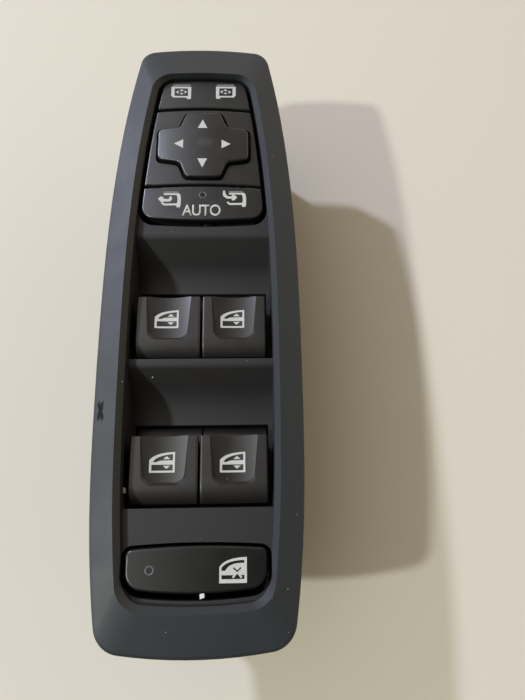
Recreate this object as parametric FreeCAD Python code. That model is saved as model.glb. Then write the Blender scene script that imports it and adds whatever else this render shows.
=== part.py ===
import FreeCAD, Part
import math
import os

os.makedirs("parts", exist_ok=True)

V = FreeCAD.Vector

# Driver's door switch panel, in millimetres.
# +Y points to the front of the vehicle, +Z up, and the part stands on its base cover at Z = 0.

# Allowances for joining and cutting solids
bite = 0.5
past = 1.0

# Rim and skirt of the bezel
rim_crest_z = 55.0
rim_width = 7.6
front_rim_width = 12.9
rear_rim_width = 12.4
rim_slope = 2.0
rim_roof = 2.4
rim_hollow_shift = 0.6
chamfer_width = 1.8
front_chamfer_width = 0.6
chamfer_drop = 2.0
skirt_depth = 12.0
skirt_draft = 1.4
edge_round = 1.1
bezel_wall = 2.2
well_corner = 7.0
crest_corner = 8.0
well_draft = 0.5
floor_bite = 0.3

# Taper and bow of the bezel outline
waist_back = 25.5
front_taper = 10.4
front_power = 2.7
rear_taper = 5.5
rear_power = 3.0
end_radius = 155.0
front_corner = 6.5
rear_corner = 8.5

# Lengths along the panel, from the front end to the rear end
select_front_gap = 0.55
select_length = 12.3
select_gap = 1.0
surround_length = 31.4
fold_gap = 0.8
fold_length = 13.5
scoop_margin = 2.2
front_scoop_length = 21.3
lip_to_scoop = 4.2
key_length = 21.4
key_rear_gap = 1.1
rear_scoop_length = 20.8
deck_length = 10.8
lock_length = 13.5
lock_to_well = 3.25

# Tub that hangs under the rim and carries the finger scoops
tub_depth = 18.0
scoop_top_drop = 3.8
bar_top_drop = 4.4
deck_drop = 3.5
scoop_depth = 14.5
scoop_lip_round = 3.0
scoop_slope = 41.0
front_lip_flat = 2.5
bar_lip_flat = 1.2
scoop_wall = 2.2
window_margin = 2.0

# Window keys
key_width = 21.7
key_gap = 0.6
key_side_margin = 2.2
key_side_gap = 0.6
key_lip_drop = 5.0
key_crown_rise = 0.4
key_tail_drop = 2.2
key_tail_slope = 0.8
key_roll_back = 15.0
key_skirt_depth = 15.0
key_ledge_depth = 13.0
key_ledge_reach = 3.4
key_ledge_back = 1.2
key_ledge_slope = 1.0
key_ledge_skin = 1.4
key_lip_thickness = 1.6
key_lip_undercut = 0.5
key_face_hollow = 2.9
key_face_rise = 0.6
key_wall = 1.6
key_skin = 2.1
key_edge_round = 0.7
key_lip_round = 0.5
dish_margin = 2.55
dish_length = 15.8
dish_depth = 1.25
dish_corner = 3.2
dish_slope = 1.2
dish_narrow = 1.4
dish_flare = 0.3

# Pivots and tongues of the window keys
pivot_back = 14.0
pivot_depth = 8.0
pin_radius = 1.5
pin_clearance = 0.1
pin_end_gap = 0.3
post_half = 2.6
post_thickness = 2.2
post_gap = 0.35
tongue_arm = 15.0
tongue_half_width = 2.2
tongue_root = 1.6
tongue_neck = 0.8
tongue_ball = 1.2
tongue_step = 2.0
ball_clearance = 0.15
ball_end_gap = 0.4

# Sliding contacts under the keys
ball_height = 7.0
slider_width = 9.0
slider_length = 10.0
slider_shoulder = 3.0
slider_slot_gap = 1.4
slide_gap = 0.1
tower_half = 3.2
tower_inset = 0.6
rail_thickness = 1.4
rail_height = 5.0
block_plate = 1.2
block_flange = 2.2
running_gap = 0.25
block_end = 8.6
spring_leaf = 0.4
spring_width = 3.0
spring_half = 3.4
spring_foot = 1.2
spring_tip = 0.8
spring_lift = 2.0
spring_seat_gap = 0.05
spring_tip_gap = 0.15

# Lock key
lock_side_inset = 0.7
lock_drop = 2.4
lock_skirt_depth = 6.6
lock_wall = 1.6
lock_roof = 2.0
lock_front_round = 2.0
lock_rear_round = 5.5
lock_front_bow = 0.9
lock_rear_bow = 1.7
lock_edge_round = 0.9
lock_side_gap = 1.2
lock_front_gap = 0.9
lock_rear_gap = 2.0
lock_travel = 1.5
lock_leg_x = 8.0
lock_leg_width = 4.0
lock_leg_depth = 3.0
lock_leg_gap = 2.0
lock_sleeve_wall = 1.2
lock_plunger_radius = 1.8
lens_from_side = 7.4
lens_radius = 1.3
lens_depth = 2.0
lens_fit = 0.05
pipe_wall = 1.1
pipe_gap = 0.3
pipe_sleeve = 4.0

# Mirror controls
block_inset = 10.7
mirror_face_drop = 2.6
mirror_plate = 2.2
surround_depth = 4.2
surround_side_wall = 3.6
surround_end_wall = 1.2
surround_roof = 2.0
mirror_corner = 4.5
divider_bow = 0.9
end_bow = 1.1
mirror_gap = 1.2
mirror_edge_round = 0.6
case_inset = 12.4
case_depth = 14.2
case_wall = 1.6
case_floor = 1.8
case_corner = 2.0
case_rear_margin = 1.6
case_front_margin = 1.4
board_standoff = 1.4
board_side_gap = 0.4
rocker_axis_depth = 5.8
rocker_rib_half = 2.6
rocker_rib_drop = 2.0
rocker_pin_radius = 1.2
rib_margin = 3.4
rocker_post = 2.0
rocker_post_half = 3.2
rocker_post_gap = 0.25
post_head = 1.8
prong_inset = 6.4
prong_radius = 1.3
mirror_board = 1.2
mat_sheet = 0.8
dome_height = 2.4
dome_radius = 2.2
dome_top_radius = 1.5
dome_skin = 0.7
dome_gap = 0.3
fold_lens_back = 3.7

# Four-way mirror pad
pad_forward = 15.6
pad_margin = 2.9
pad_half_y = 13.4
pad_arm_end_x = 6.2
pad_arm_end_y = 6.2
pad_arm_root_x = 8.6
pad_arm_root_y = 7.4
pad_end_round = 2.2
pad_gap = 0.75
pad_rise = 1.6
pad_plate = 2.8
pad_axis_depth = 7.0
stem_half = 3.4
stem_drop = 1.8
ring_inner = 4.2
ring_outer = 6.6
ring_height = 3.0
ring_gap = 0.3
ring_pin_gap = 0.4
gimbal_pin_radius = 1.0
gimbal_post = 2.0
gimbal_post_half = 2.4
pad_prong_inset = 3.4
pad_prong_back = 2.0

# Housing, boards and base cover
roof_drop = 6.0
roof_thickness = 1.8
housing_wall = 2.1
board_seat = 1.4
board_thickness = 1.6
board_margin = 1.4
tray_depth = 5.0
cover_floor = 1.8
foot_side_inset = 11.6
foot_front_reach = 3.0
foot_rear_reach = 16.0
foot_corner = 4.0
foot_wall = 1.8
peg_radius = 2.2
peg_inset = 13.8
peg_from_foot = 11.0
peg_from_end = 24.0

# Connector
socket_back = 7.5
socket_half_x = 18.0
socket_half_y = 10.0
socket_wall = 1.4
socket_recess = 0.8
socket_base = 2.0
socket_gap = 0.4
socket_rib_x = 8.0
socket_rib = 1.2
pin_rows = 2
pins_per_row = 12
pin_pitch = 2.5
pin_size = 0.64
pin_setback = 5.2

# Header between the two boards
link_forward = 0.5
link_count = 8
link_pitch = 2.0
link_size = 0.6
link_slot_half = 1.0
link_end_gap = 0.4

# Lamps under the two indicator windows
lamp_length = 2.0
lamp_width = 1.6
lamp_height = 1.2

# Fasteners and spring clips
screw_from_end = 50.25
screw_inset = 4.8
screw_radius = 1.4
screw_length = 10.0
screw_tip_gap = 0.6
screw_head_radius = 2.3
screw_head_height = 2.0
screw_head_round = 0.6
boss_radius = 2.7
ear_margin = 0.6
ear_bite = 1.1
screw_clearance = 0.1
screw_hole_gap = 0.3
ear_thickness = 2.0
clip_forward = 16.5
clip_rear_forward = 4.0
clip_width = 8.0
clip_sheet = 0.5
rib_inset = 5.9
rib_thickness = 1.6
rib_side = 0.6
rib_depth = 14.0
clip_leg = 7.0
clip_knee = 7.5
clip_shoulder = 8.8
clip_tip = 11.4
clip_tip_out = 0.6
clip_bulge = 3.2
clip_bend = 0.3
clip_fit = 0.15

# Snap hooks that hold the base cover
hook_count = 4
hook_from_end = 36.0
hook_width = 6.0
hook_leg = 2.1
hook_bar = 2.0
hook_root = 1.6
hook_thickness = 1.2
hook_gap = 0.2
hook_reach = 8.0
hook_bite = 0.9
wedge_inset = 0.4
wedge_foot = 2.4
wedge_rise = 1.6
wedge_top = 4.6

# Half the overall width: half a key pair, the deck beside it and the rim
key_pair_half_width = key_gap / 2 + key_width
foot_inset = rim_width + chamfer_width
waist_half_width = key_pair_half_width + key_side_margin + foot_inset
lock_half_width = key_pair_half_width - lock_side_inset
lens_x = lock_half_width - lens_from_side
foot_half_width = waist_half_width - foot_side_inset
dish_width = key_width - 2 * dish_margin

# Overall length, with Y = 0 in the middle, and the places along it
key_pitch = key_length + key_rear_gap + rear_scoop_length + lip_to_scoop
mirror_length = select_length + select_gap + surround_length + fold_gap + fold_length
front_rim = front_rim_width + front_chamfer_width + select_front_gap
front_reach = front_rim + mirror_length + scoop_margin + front_scoop_length + lip_to_scoop
rear_rim = rear_rim_width + chamfer_width + lock_to_well
rear_reach = key_pitch + key_length + key_rear_gap + deck_length + lock_length + rear_rim
bezel_end = (front_reach + rear_reach) / 2
front_lip_y = bezel_end - front_reach
rear_lip_y = front_lip_y - key_pitch
waist_y = front_lip_y - waist_back
bar_y = front_lip_y - key_length - key_rear_gap
deck_y = rear_lip_y - key_length - key_rear_gap
lock_front_y = deck_y - deck_length
lock_rear_y = lock_front_y - lock_length
lock_y = (lock_front_y + lock_rear_y) / 2
front_scoop_y = front_lip_y + lip_to_scoop + front_scoop_length
fold_rear_y = front_scoop_y + scoop_margin
fold_front_y = fold_rear_y + fold_length
surround_rear_y = fold_front_y + fold_gap
surround_front_y = surround_rear_y + surround_length
select_rear_y = surround_front_y + select_gap
select_front_y = select_rear_y + select_length
fold_lens_y = fold_front_y - fold_lens_back
pad_y = surround_rear_y + pad_forward
link_y = surround_rear_y + link_forward
screw_y = bezel_end - screw_from_end
clip_front_y = front_lip_y + clip_forward
clip_rear_y = rear_lip_y + clip_rear_forward
socket_y = front_lip_y - socket_back
foot_front_y = front_scoop_y + foot_front_reach
foot_rear_y = rear_lip_y - foot_rear_reach

# Heights of the bezel and its keys, measured down from the rim's crest
rim_edge_z = rim_crest_z - rim_slope
skirt_z = rim_edge_z - skirt_depth
foot_z = rim_crest_z - chamfer_drop
tub_inset = foot_inset - bezel_wall + 0.1
tub_bottom_z = rim_crest_z - tub_depth
scoop_top_z = rim_crest_z - scoop_top_drop
bar_top_z = rim_crest_z - bar_top_drop
deck_z = rim_crest_z - deck_drop
scoop_end_z = rim_crest_z - scoop_depth
rib_bottom_z = skirt_z - rib_depth
key_lip_z = rim_crest_z - key_lip_drop
key_crown_z = key_lip_z + key_crown_rise
key_rear_z = key_lip_z - key_tail_drop
key_skirt_z = key_lip_z - key_skirt_depth
key_ledge_z = key_lip_z - key_ledge_depth
pivot_z = key_lip_z - pivot_depth
lock_top_z = rim_crest_z - lock_drop
lock_skirt_z = lock_top_z - lock_skirt_depth

# Heights of the mirror controls
mirror_face_z = rim_crest_z - mirror_face_drop
case_top_z = mirror_face_z - surround_depth
case_bottom_z = case_top_z - case_depth
rocker_axis_z = mirror_face_z - rocker_axis_depth
pad_top_z = mirror_face_z + pad_rise
pad_axis_z = pad_top_z - pad_axis_depth
mirror_board_z = case_bottom_z + case_floor + board_standoff
mat_z = mirror_board_z + mirror_board
prong_z = mat_z + mat_sheet + dome_height + dome_gap

# Heights of the housing, its board and the cover, down to the foot at Z = 0
roof_z = tub_bottom_z - roof_drop
tongue_ball_z = pivot_z - tongue_arm
slider_top_z = tongue_ball_z + tongue_ball
board_top_z = tongue_ball_z - ball_height
board_z = board_top_z - board_thickness
seam_z = board_z - board_seat
cover_floor_z = seam_z - tray_depth
lock_leg_bottom = roof_z + lock_leg_gap
pin_bottom_z = socket_recess + pin_setback
key_sides = {"left": -1, "right": 1}
key_rows = {"front": front_lip_y, "rear": rear_lip_y}


def box(x0, x1, y0, y1, z0, z1):
    """A block between two corners."""
    return Part.makeBox(x1 - x0, y1 - y0, z1 - z0, V(x0, y0, z0))


def mirrored_box(side, x0, x1, y0, y1, z0, z1):
    """A block whose X values are counted outwards on one side of the panel."""
    low, high = sorted((side * x0, side * x1))
    return box(low, high, y0, y1, z0, z1)


def rod(radius, start, end):
    """A round bar between two points."""
    along = end - start
    return Part.makeCylinder(radius, along.Length, start, along)


def join(first, *others):
    """One solid out of pieces that touch or overlap."""
    return first.fuse(list(others)).removeSplitter()


def half_width(y):
    """Half the bezel's width at a station along its length."""
    if y > waist_y:
        reach = (y - waist_y) / (bezel_end - waist_y)
        return waist_half_width - front_taper * reach ** front_power
    reach = (waist_y - y) / (bezel_end + waist_y)
    return waist_half_width - rear_taper * reach ** rear_power


def side_direction(y):
    """The direction of the bezel's side, and the outward normal, at a station."""
    step = 0.05
    slope = (half_width(y + step) - half_width(y - step)) / (2 * step)
    along = V(slope, 1, 0).normalize()
    return along, V(along.y, -along.x, 0)


def side_point(y, inset, z=0.0):
    """A point on the bezel's right side, moved square to the side by the inset."""
    along, outward = side_direction(y)
    return V(half_width(y), y, z) - outward * inset


def side_x(y, inset):
    """X of the inset side at exactly this Y."""
    station = y
    for _ in range(8):
        station += y - side_point(station, inset).y
    return side_point(station, inset).x


def corner_fit(inset, end_y, corner, forward):
    """Station where the corner's arc leaves the side, and the arc's centre."""
    centre_of_end = V(0, end_y - forward * end_radius, 0)
    near, far = end_y - forward * (3 * corner + 12), end_y
    for _ in range(50):
        middle = (near + far) / 2
        centre = side_point(middle, inset + corner)
        if (centre - centre_of_end).Length < end_radius - corner:
            near = middle
        else:
            far = middle
    return middle, centre, centre_of_end


def outline(z, inset, front_cut, rear_cut, front_round, rear_round):
    """Closed tapered outline at height z: bowed ends, rounded corners, bellied sides."""
    front_y, rear_y = bezel_end - front_cut, rear_cut - bezel_end
    fy, fc, fe = corner_fit(inset, front_y, front_round, 1)
    ry, rc, re = corner_fit(inset, rear_y, rear_round, -1)

    def corner_points(station, centre, end_centre, radius):
        outward = side_direction(station)[1]
        to_end = (centre - end_centre).normalize()
        between = (outward + to_end).normalize()
        return centre + outward * radius, centre + between * radius, centre + to_end * radius

    f_side, f_mid, f_end = corner_points(fy, fc, fe, front_round)
    r_side, r_mid, r_end = corner_points(ry, rc, re, rear_round)
    stations = [ry + (fy - ry) * n / 6 for n in range(7)]
    side = [side_point(y, inset) for y in stations]

    def lift(point, mirror=1):
        return V(mirror * point.x, point.y, z)

    def side_curve(mirror):
        curve = Part.BSplineCurve()
        start, finish = side_direction(stations[0])[0], side_direction(stations[-1])[0]
        curve.interpolate(
            Points=[lift(p, mirror) for p in side],
            InitialTangent=V(mirror * start.x, start.y, 0),
            FinalTangent=V(mirror * finish.x, finish.y, 0),
        )
        return curve.toShape()

    def arc(a, b, c):
        return Part.Arc(a, b, c).toShape()

    edges = [
        side_curve(1),
        arc(lift(f_side), lift(f_mid), lift(f_end)),
        arc(lift(f_end), V(0, front_y, z), lift(f_end, -1)),
        arc(lift(f_end, -1), lift(f_mid, -1), lift(f_side, -1)),
        side_curve(-1),
        arc(lift(r_side, -1), lift(r_mid, -1), lift(r_end, -1)),
        arc(lift(r_end, -1), V(0, rear_y, z), lift(r_end)),
        arc(lift(r_end), lift(r_mid), lift(r_side)),
    ]
    return Part.Wire(Part.__sortEdges__(edges))


def outer_ring(z, inset):
    """Outline parallel to the bezel's outer edge."""
    return outline(z, inset, inset, inset, front_corner - inset, rear_corner - inset)


def well_ring(z, grow):
    """Outline parallel to the foot of the rim's inner chamfer, larger by grow."""
    return outline(
        z,
        foot_inset - grow,
        front_rim_width + front_chamfer_width - grow,
        rear_rim_width + chamfer_width - grow,
        well_corner + grow,
        well_corner + grow,
    )


def crest_ring(z, grow=0.0):
    """Outline of the rim's crest, where the inner chamfer starts."""
    return outline(
        z,
        rim_width - grow,
        front_rim_width - grow,
        rear_rim_width - grow,
        crest_corner,
        crest_corner,
    )


def stack(*wires):
    """Solid that passes straight from one outline to the next."""
    return Part.makeLoft(list(wires), True, True)


def prism(wire, height):
    """An outline pushed up by a height."""
    return Part.Face(wire).extrude(V(0, 0, height))


def wire_yz(points, x):
    """A closed polygon of (y, z) points at one X."""
    loop = [V(x, y, z) for y, z in points]
    return Part.makePolygon(loop + [loop[0]])


def scoop(lip_y, flat, top_z, end_y, end_z):
    """Finger scoop: a sheet that rolls over a lip, falls at a slope and sweeps out level."""
    slope = math.radians(scoop_slope)
    width = lip_y - flat - end_y - scoop_lip_round * math.sin(slope)
    drop = top_z - end_z - scoop_lip_round * (1 - math.cos(slope))
    sweep = (width * math.sin(slope) - drop * math.cos(slope)) / (1 - math.cos(slope))
    lip_centre = V(0, lip_y - flat, top_z - scoop_lip_round)
    sweep_centre = V(0, end_y, end_z + sweep)

    def face_line(depth):
        def on_lip(angle):
            radius = scoop_lip_round - depth
            return lip_centre + V(0, -math.sin(angle), math.cos(angle)) * radius

        def on_sweep(angle):
            radius = sweep + depth
            return sweep_centre + V(0, math.sin(angle), -math.cos(angle)) * radius

        return (
            V(0, lip_y, top_z - depth),
            (on_lip(0), on_lip(slope / 2), on_lip(slope)),
            (on_sweep(slope), on_sweep(slope / 2), on_sweep(0)),
        )

    top_start, top_lip, top_sweep = face_line(0)
    low_start, low_lip, low_sweep = face_line(scoop_wall)
    edges = [
        Part.makeLine(top_start, top_lip[0]),
        Part.Arc(*top_lip).toShape(),
        Part.makeLine(top_lip[2], top_sweep[0]),
        Part.Arc(*top_sweep).toShape(),
        Part.makeLine(top_sweep[2], low_sweep[2]),
        Part.Arc(*low_sweep).toShape(),
        Part.makeLine(low_sweep[0], low_lip[2]),
        Part.Arc(*low_lip).toShape(),
        Part.makeLine(low_lip[0], low_start),
        Part.makeLine(low_start, top_start),
    ]
    face = Part.Face(Part.Wire(Part.__sortEdges__(edges)))
    reach = waist_half_width
    face.translate(V(-reach, 0, 0))
    return face.extrude(V(2 * reach, 0, 0))


def upright_edges(shape, y_low, y_high):
    """The upright edges whose Y lies between two values."""
    found = []
    for edge in shape.Edges:
        room = edge.BoundBox
        flat = room.XLength < 1e-6 and room.YLength < 1e-6
        if flat and y_low < edge.CenterOfMass.y < y_high:
            found.append(edge)
    return found


def rounded_plate(x0, x1, y0, y1, z0, z1, front_round, rear_round):
    """A plate with rounded upright edges, one radius in front and one behind."""
    plate = box(x0, x1, y0, y1, z0, z1)
    plate = plate.makeFillet(front_round, upright_edges(plate, y1 - 0.01, y1 + 1))
    return plate.makeFillet(rear_round, upright_edges(plate, y0 - 1, y0 + 0.01))


def bowed_plate(half, ends, heights, bows, rounds):
    """A plate with straight sides and bowed ends; each pair goes rear then front, or low then high."""
    z0, z1 = heights
    y0, y1 = ends[0] + bows[0], ends[1] - bows[1]
    wire = Part.Wire(
        [
            Part.makeLine(V(half, y0, z0), V(half, y1, z0)),
            Part.Arc(V(half, y1, z0), V(0, ends[1], z0), V(-half, y1, z0)).toShape(),
            Part.makeLine(V(-half, y1, z0), V(-half, y0, z0)),
            Part.Arc(V(-half, y0, z0), V(0, ends[0], z0), V(half, y0, z0)).toShape(),
        ]
    )
    plate = prism(wire, z1 - z0)
    plate = plate.makeFillet(rounds[0], upright_edges(plate, y0 - 0.1, y0 + 0.1))
    return plate.makeFillet(rounds[1], upright_edges(plate, y1 - 0.1, y1 + 0.1))


def top_edges(shape, z):
    """The edges that lie level at height z."""
    return [
        e
        for e in shape.Edges
        if abs(e.BoundBox.ZMin - z) < 1e-4 and abs(e.BoundBox.ZMax - z) < 1e-4
    ]


def tapered_plate(inset, y_rear, y_front, z0, z1, bows=(0.0, 0.0), rounds=(0.0, 0.0)):
    """A plate whose sides follow the bezel's, with ends bowed towards the front by bows."""
    rear_bow, front_bow = bows
    y0, y1 = y_rear - max(rear_bow, 0.0), y_front - max(front_bow, 0.0)
    if rear_bow < 0:
        y0 = y_rear - rear_bow
    stations = [y0 + (y1 - y0) * n / 4 for n in range(5)]
    corners = {}
    edges = []
    for mirror in (1, -1):
        points = [V(mirror * side_x(y, inset), y, z0) for y in stations]
        curve = Part.BSplineCurve()
        curve.interpolate(Points=points)
        edges.append(curve.toShape())
        corners[mirror] = (points[0], points[-1])
    for end, bow in ((0, rear_bow), (1, front_bow)):
        right, left = corners[1][end], corners[-1][end]
        if bow == 0:
            edges.append(Part.makeLine(right, left))
        else:
            edges.append(Part.Arc(right, V(0, right.y + bow, z0), left).toShape())
    plate = prism(Part.Wire(Part.__sortEdges__(edges)), z1 - z0)
    for radius, end in zip(rounds, (0, 1)):
        if radius > 0:
            y = corners[1][end].y
            plate = plate.makeFillet(radius, upright_edges(plate, y - 0.1, y + 0.1))
    return plate


def strip(points, thickness, width, place):
    """A bent sheet strip: points are its middle line, place maps (a, b, c) to a vector."""
    count = len(points)
    left, right = [], []
    for n, (a, b) in enumerate(points):
        before = points[max(n - 1, 0)]
        after = points[min(n + 1, count - 1)]
        da, db = after[0] - before[0], after[1] - before[1]
        length = math.hypot(da, db)
        left.append((a - db / length * thickness / 2, b + da / length * thickness / 2))
        right.append((a + db / length * thickness / 2, b - da / length * thickness / 2))
    loop = [place(a, b, -width / 2) for a, b in left + right[::-1]]
    face = Part.Face(Part.makePolygon(loop + [loop[0]]))
    return face.extrude(place(0, 0, width / 2) - place(0, 0, -width / 2))


nodes = {}


def keep(name, shape):
    """Record one finished node."""
    nodes[name] = shape


# Bezel: sloped rim, skirt and the tub with its two finger scoops
def bezel():
    outer = stack(
        outer_ring(skirt_z, skirt_draft),
        outer_ring(rim_edge_z - edge_round, 0),
        outer_ring(rim_edge_z - edge_round * 0.3, edge_round * 0.3),
        outer_ring(rim_edge_z, edge_round),
        crest_ring(rim_crest_z),
    )
    hollow = stack(
        outer_ring(skirt_z - past, skirt_draft + bezel_wall),
        outer_ring(rim_edge_z - rim_roof, bezel_wall),
        crest_ring(rim_crest_z - rim_roof, rim_hollow_shift),
    )
    tub = prism(well_ring(tub_bottom_z, foot_inset - tub_inset), foot_z - tub_bottom_z)
    shell = join(outer.cut(hollow), tub)
    well = stack(
        well_ring(tub_bottom_z - past, -well_draft),
        well_ring(foot_z, 0),
        crest_ring(rim_crest_z + 0.01),
    )
    shell = shell.cut(well)
    reach = waist_half_width
    low = scoop_end_z - scoop_wall
    front_end, rear_end = front_lip_y + lip_to_scoop, rear_lip_y + lip_to_scoop
    floor = [
        scoop(front_scoop_y, front_lip_flat, scoop_top_z, front_end, scoop_end_z),
        scoop(bar_y, bar_lip_flat, bar_top_z, rear_end, scoop_end_z),
    ]
    walls = (
        (front_scoop_y, tub_bottom_z, scoop_top_z),
        (bar_y, low, bar_top_z),
        (deck_y, low, deck_z),
    )
    for y, z0, z1 in walls:
        floor.append(box(-reach, reach, y - scoop_wall, y, z0, z1 - scoop_wall / 2))
    floor.append(box(-reach, reach, bar_y - bite, front_end, low, scoop_end_z))
    floor.append(box(-reach, reach, deck_y - bite, rear_end, low, scoop_end_z))
    floor.append(box(-reach, reach, -bezel_end, deck_y, deck_z - scoop_wall, deck_z))
    window = tapered_plate(
        block_inset - mirror_gap, front_scoop_y, bezel_end - front_rim_width, tub_bottom_z, foot_z,
        (-end_bow, 0.0), (mirror_corner + mirror_gap, 0.0),
    )
    frame = box(
        -reach, reach, front_scoop_y - bite, front_scoop_y + mirror_corner + window_margin,
        scoop_top_z - scoop_wall, scoop_top_z,
    )
    floor.append(frame.cut(window))
    inside = stack(
        well_ring(tub_bottom_z, floor_bite - well_draft), well_ring(foot_z, floor_bite)
    )
    floor = join(*floor).common(inside)
    body = join(shell, floor)
    hole = key_pair_half_width + key_side_gap
    for lip in key_rows.values():
        back = lip - key_length - key_rear_gap
        body = body.cut(box(-hole, hole, back, lip + lip_to_scoop, low - past, scoop_end_z + past))
    lock_hole = bowed_plate(
        lock_half_width + lock_side_gap,
        (lock_rear_y - lock_rear_gap, lock_front_y + lock_front_gap),
        (tub_bottom_z, rim_crest_z),
        (lock_rear_bow, lock_front_bow),
        (lock_rear_round + lock_side_gap, lock_front_round + lock_side_gap),
    )
    body = body.cut(lock_hole)
    bosses = []
    holes = []
    for x, y in screw_places():
        bosses.append(rod(boss_radius, V(x, y, tub_bottom_z), V(x, y, rim_edge_z - bite)))
        drill_end = tub_bottom_z - ear_thickness + screw_length + screw_tip_gap
        holes.append(rod(screw_radius + screw_clearance, V(x, y, 0), V(x, y, drill_end)))
    body = join(body, *bosses, *clip_ribs())
    for hole in holes:
        body = body.cut(hole)
    return body.removeSplitter()


def screw_places():
    """Centres of the four housing screws."""
    places = []
    for y in (screw_y, -screw_y):
        x = side_x(y, screw_inset)
        places += [(x, y), (-x, y)]
    return places


def clip_places():
    """Side and station of each spring clip."""
    return [(side, y) for y in (clip_front_y, clip_rear_y) for side in (-1, 1)]


def clip_ribs():
    """Ribs under the rim that the spring clips are pushed onto."""
    ribs = []
    top = rim_edge_z - bite
    for side, y in clip_places():
        x = half_width(y) - rib_inset
        half = clip_width / 2 + rib_side
        ribs.append(mirrored_box(side, x, x + rib_thickness, y - half, y + half, rib_bottom_z, top))
    return ribs


def retaining_clips():
    """Spring clips bent from steel strip, one on each rib."""
    clips = []
    lift = clip_sheet / 2 + clip_fit
    for side, y in clip_places():
        x = half_width(y) - rib_inset
        inner, outer = x - lift, x + rib_thickness + lift
        bottom = rib_bottom_z - lift
        points = [
            (inner, rib_bottom_z + clip_leg),
            (inner, bottom + clip_bend),
            (inner + clip_bend, bottom),
            (outer - clip_bend, bottom),
            (outer, bottom + clip_bend),
            (outer + clip_bulge, rib_bottom_z + clip_knee),
            (outer + clip_bulge * 0.9, rib_bottom_z + clip_shoulder),
            (outer + clip_tip_out, rib_bottom_z + clip_tip),
        ]
        clips.append(strip(points, clip_sheet, clip_width, lambda a, b, c: V(side * a, y + c, b)))
    return Part.makeCompound(clips)


# Window keys: dished rockers with a lower front ledge, hung on two pins each
def key_limits(side):
    """The key's inner and outer X, in order."""
    return sorted((side * key_gap / 2, side * key_pair_half_width))


def window_key(side, lip):
    x0, x1 = key_limits(side)
    middle = (x0 + x1) / 2
    rear = lip - key_length
    pivot_y = lip - pivot_back
    under_lip = V(x0, lip - key_lip_undercut, key_lip_z - key_lip_thickness)
    hollow_z = (key_lip_z + key_ledge_z) / 2 + key_face_rise
    hollow_face = V(x0, lip - key_face_hollow, hollow_z)
    ledge_root = V(x0, lip - key_ledge_back, key_ledge_z + key_ledge_slope)
    corners = [
        ledge_root,
        V(x0, lip + key_ledge_reach, key_ledge_z),
        V(x0, lip + key_ledge_reach, key_skirt_z),
        V(x0, rear + key_tail_slope, key_skirt_z),
        V(x0, rear, key_rear_z),
    ]
    crown = V(x0, lip - key_roll_back, key_crown_z)
    run, fall = key_length - key_roll_back, key_crown_z - key_rear_z
    roll = (run ** 2 + fall ** 2) / (2 * fall)
    half_turn = math.asin(run / roll) / 2
    roll_middle = crown + V(0, -roll * math.sin(half_turn), roll * (math.cos(half_turn) - 1))
    edges = [Part.makeLine(a, b) for a, b in zip(corners[:-1], corners[1:])]
    edges += [
        Part.Arc(corners[-1], roll_middle, crown).toShape(),
        Part.makeLine(crown, V(x0, lip, key_lip_z)),
        Part.makeLine(V(x0, lip, key_lip_z), under_lip),
        Part.Arc(under_lip, hollow_face, ledge_root).toShape(),
    ]
    body = Part.Face(Part.Wire(Part.__sortEdges__(edges))).extrude(V(x1 - x0, 0, 0))
    shoulders = [
        e
        for e in body.Edges
        if e.BoundBox.ZMin > key_rear_z - 0.01
        and e.BoundBox.XLength < 1e-6
        and e.CenterOfMass.y < lip - key_lip_undercut
    ]
    body = body.makeFillet(key_edge_round, shoulders)
    lip_edges = [
        e
        for e in body.Edges
        if e.BoundBox.YMin > lip - bite and e.BoundBox.ZMin > key_lip_z - key_edge_round - 0.1
    ]
    body = body.makeFillet(key_lip_round, lip_edges)
    body = body.cut(dish(middle, lip))
    top = key_lip_z - dish_depth - key_skin
    ledge_front = lip + key_ledge_reach - key_wall
    cavity = Part.Face(
        wire_yz(
            [
                (ledge_front, key_skirt_z - past),
                (ledge_front, key_ledge_z - key_ledge_skin),
                (lip - key_ledge_back - key_skin, key_ledge_z + key_ledge_slope - key_ledge_skin),
                (lip - key_face_hollow - key_skin, hollow_z),
                (lip - key_face_hollow - key_skin + key_face_rise, top),
                (lip - key_roll_back, top),
                (rear + key_wall + key_tail_slope, key_rear_z - key_wall),
                (rear + key_wall + key_tail_slope, key_skirt_z - past),
            ],
            x0 + key_wall,
        )
    ).extrude(V(x1 - x0 - 2 * key_wall, 0, 0))
    body = body.cut(cavity)
    bearing = rod(
        pin_radius + pin_clearance,
        V(x0 - past, pivot_y, pivot_z),
        V(x1 + past, pivot_y, pivot_z),
    )
    body = body.cut(bearing)
    half = tongue_half_width
    root = box(
        middle - half, middle + half, pivot_y - tongue_root, pivot_y + tongue_root,
        roof_z + tongue_step, top + bite,
    )
    neck = box(
        middle - half, middle + half, pivot_y - tongue_neck, pivot_y + tongue_neck,
        tongue_ball_z, roof_z + tongue_step + bite,
    )
    ball = rod(
        tongue_ball,
        V(middle - half, pivot_y, tongue_ball_z),
        V(middle + half, pivot_y, tongue_ball_z),
    )
    return join(body, root, neck, ball)


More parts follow.
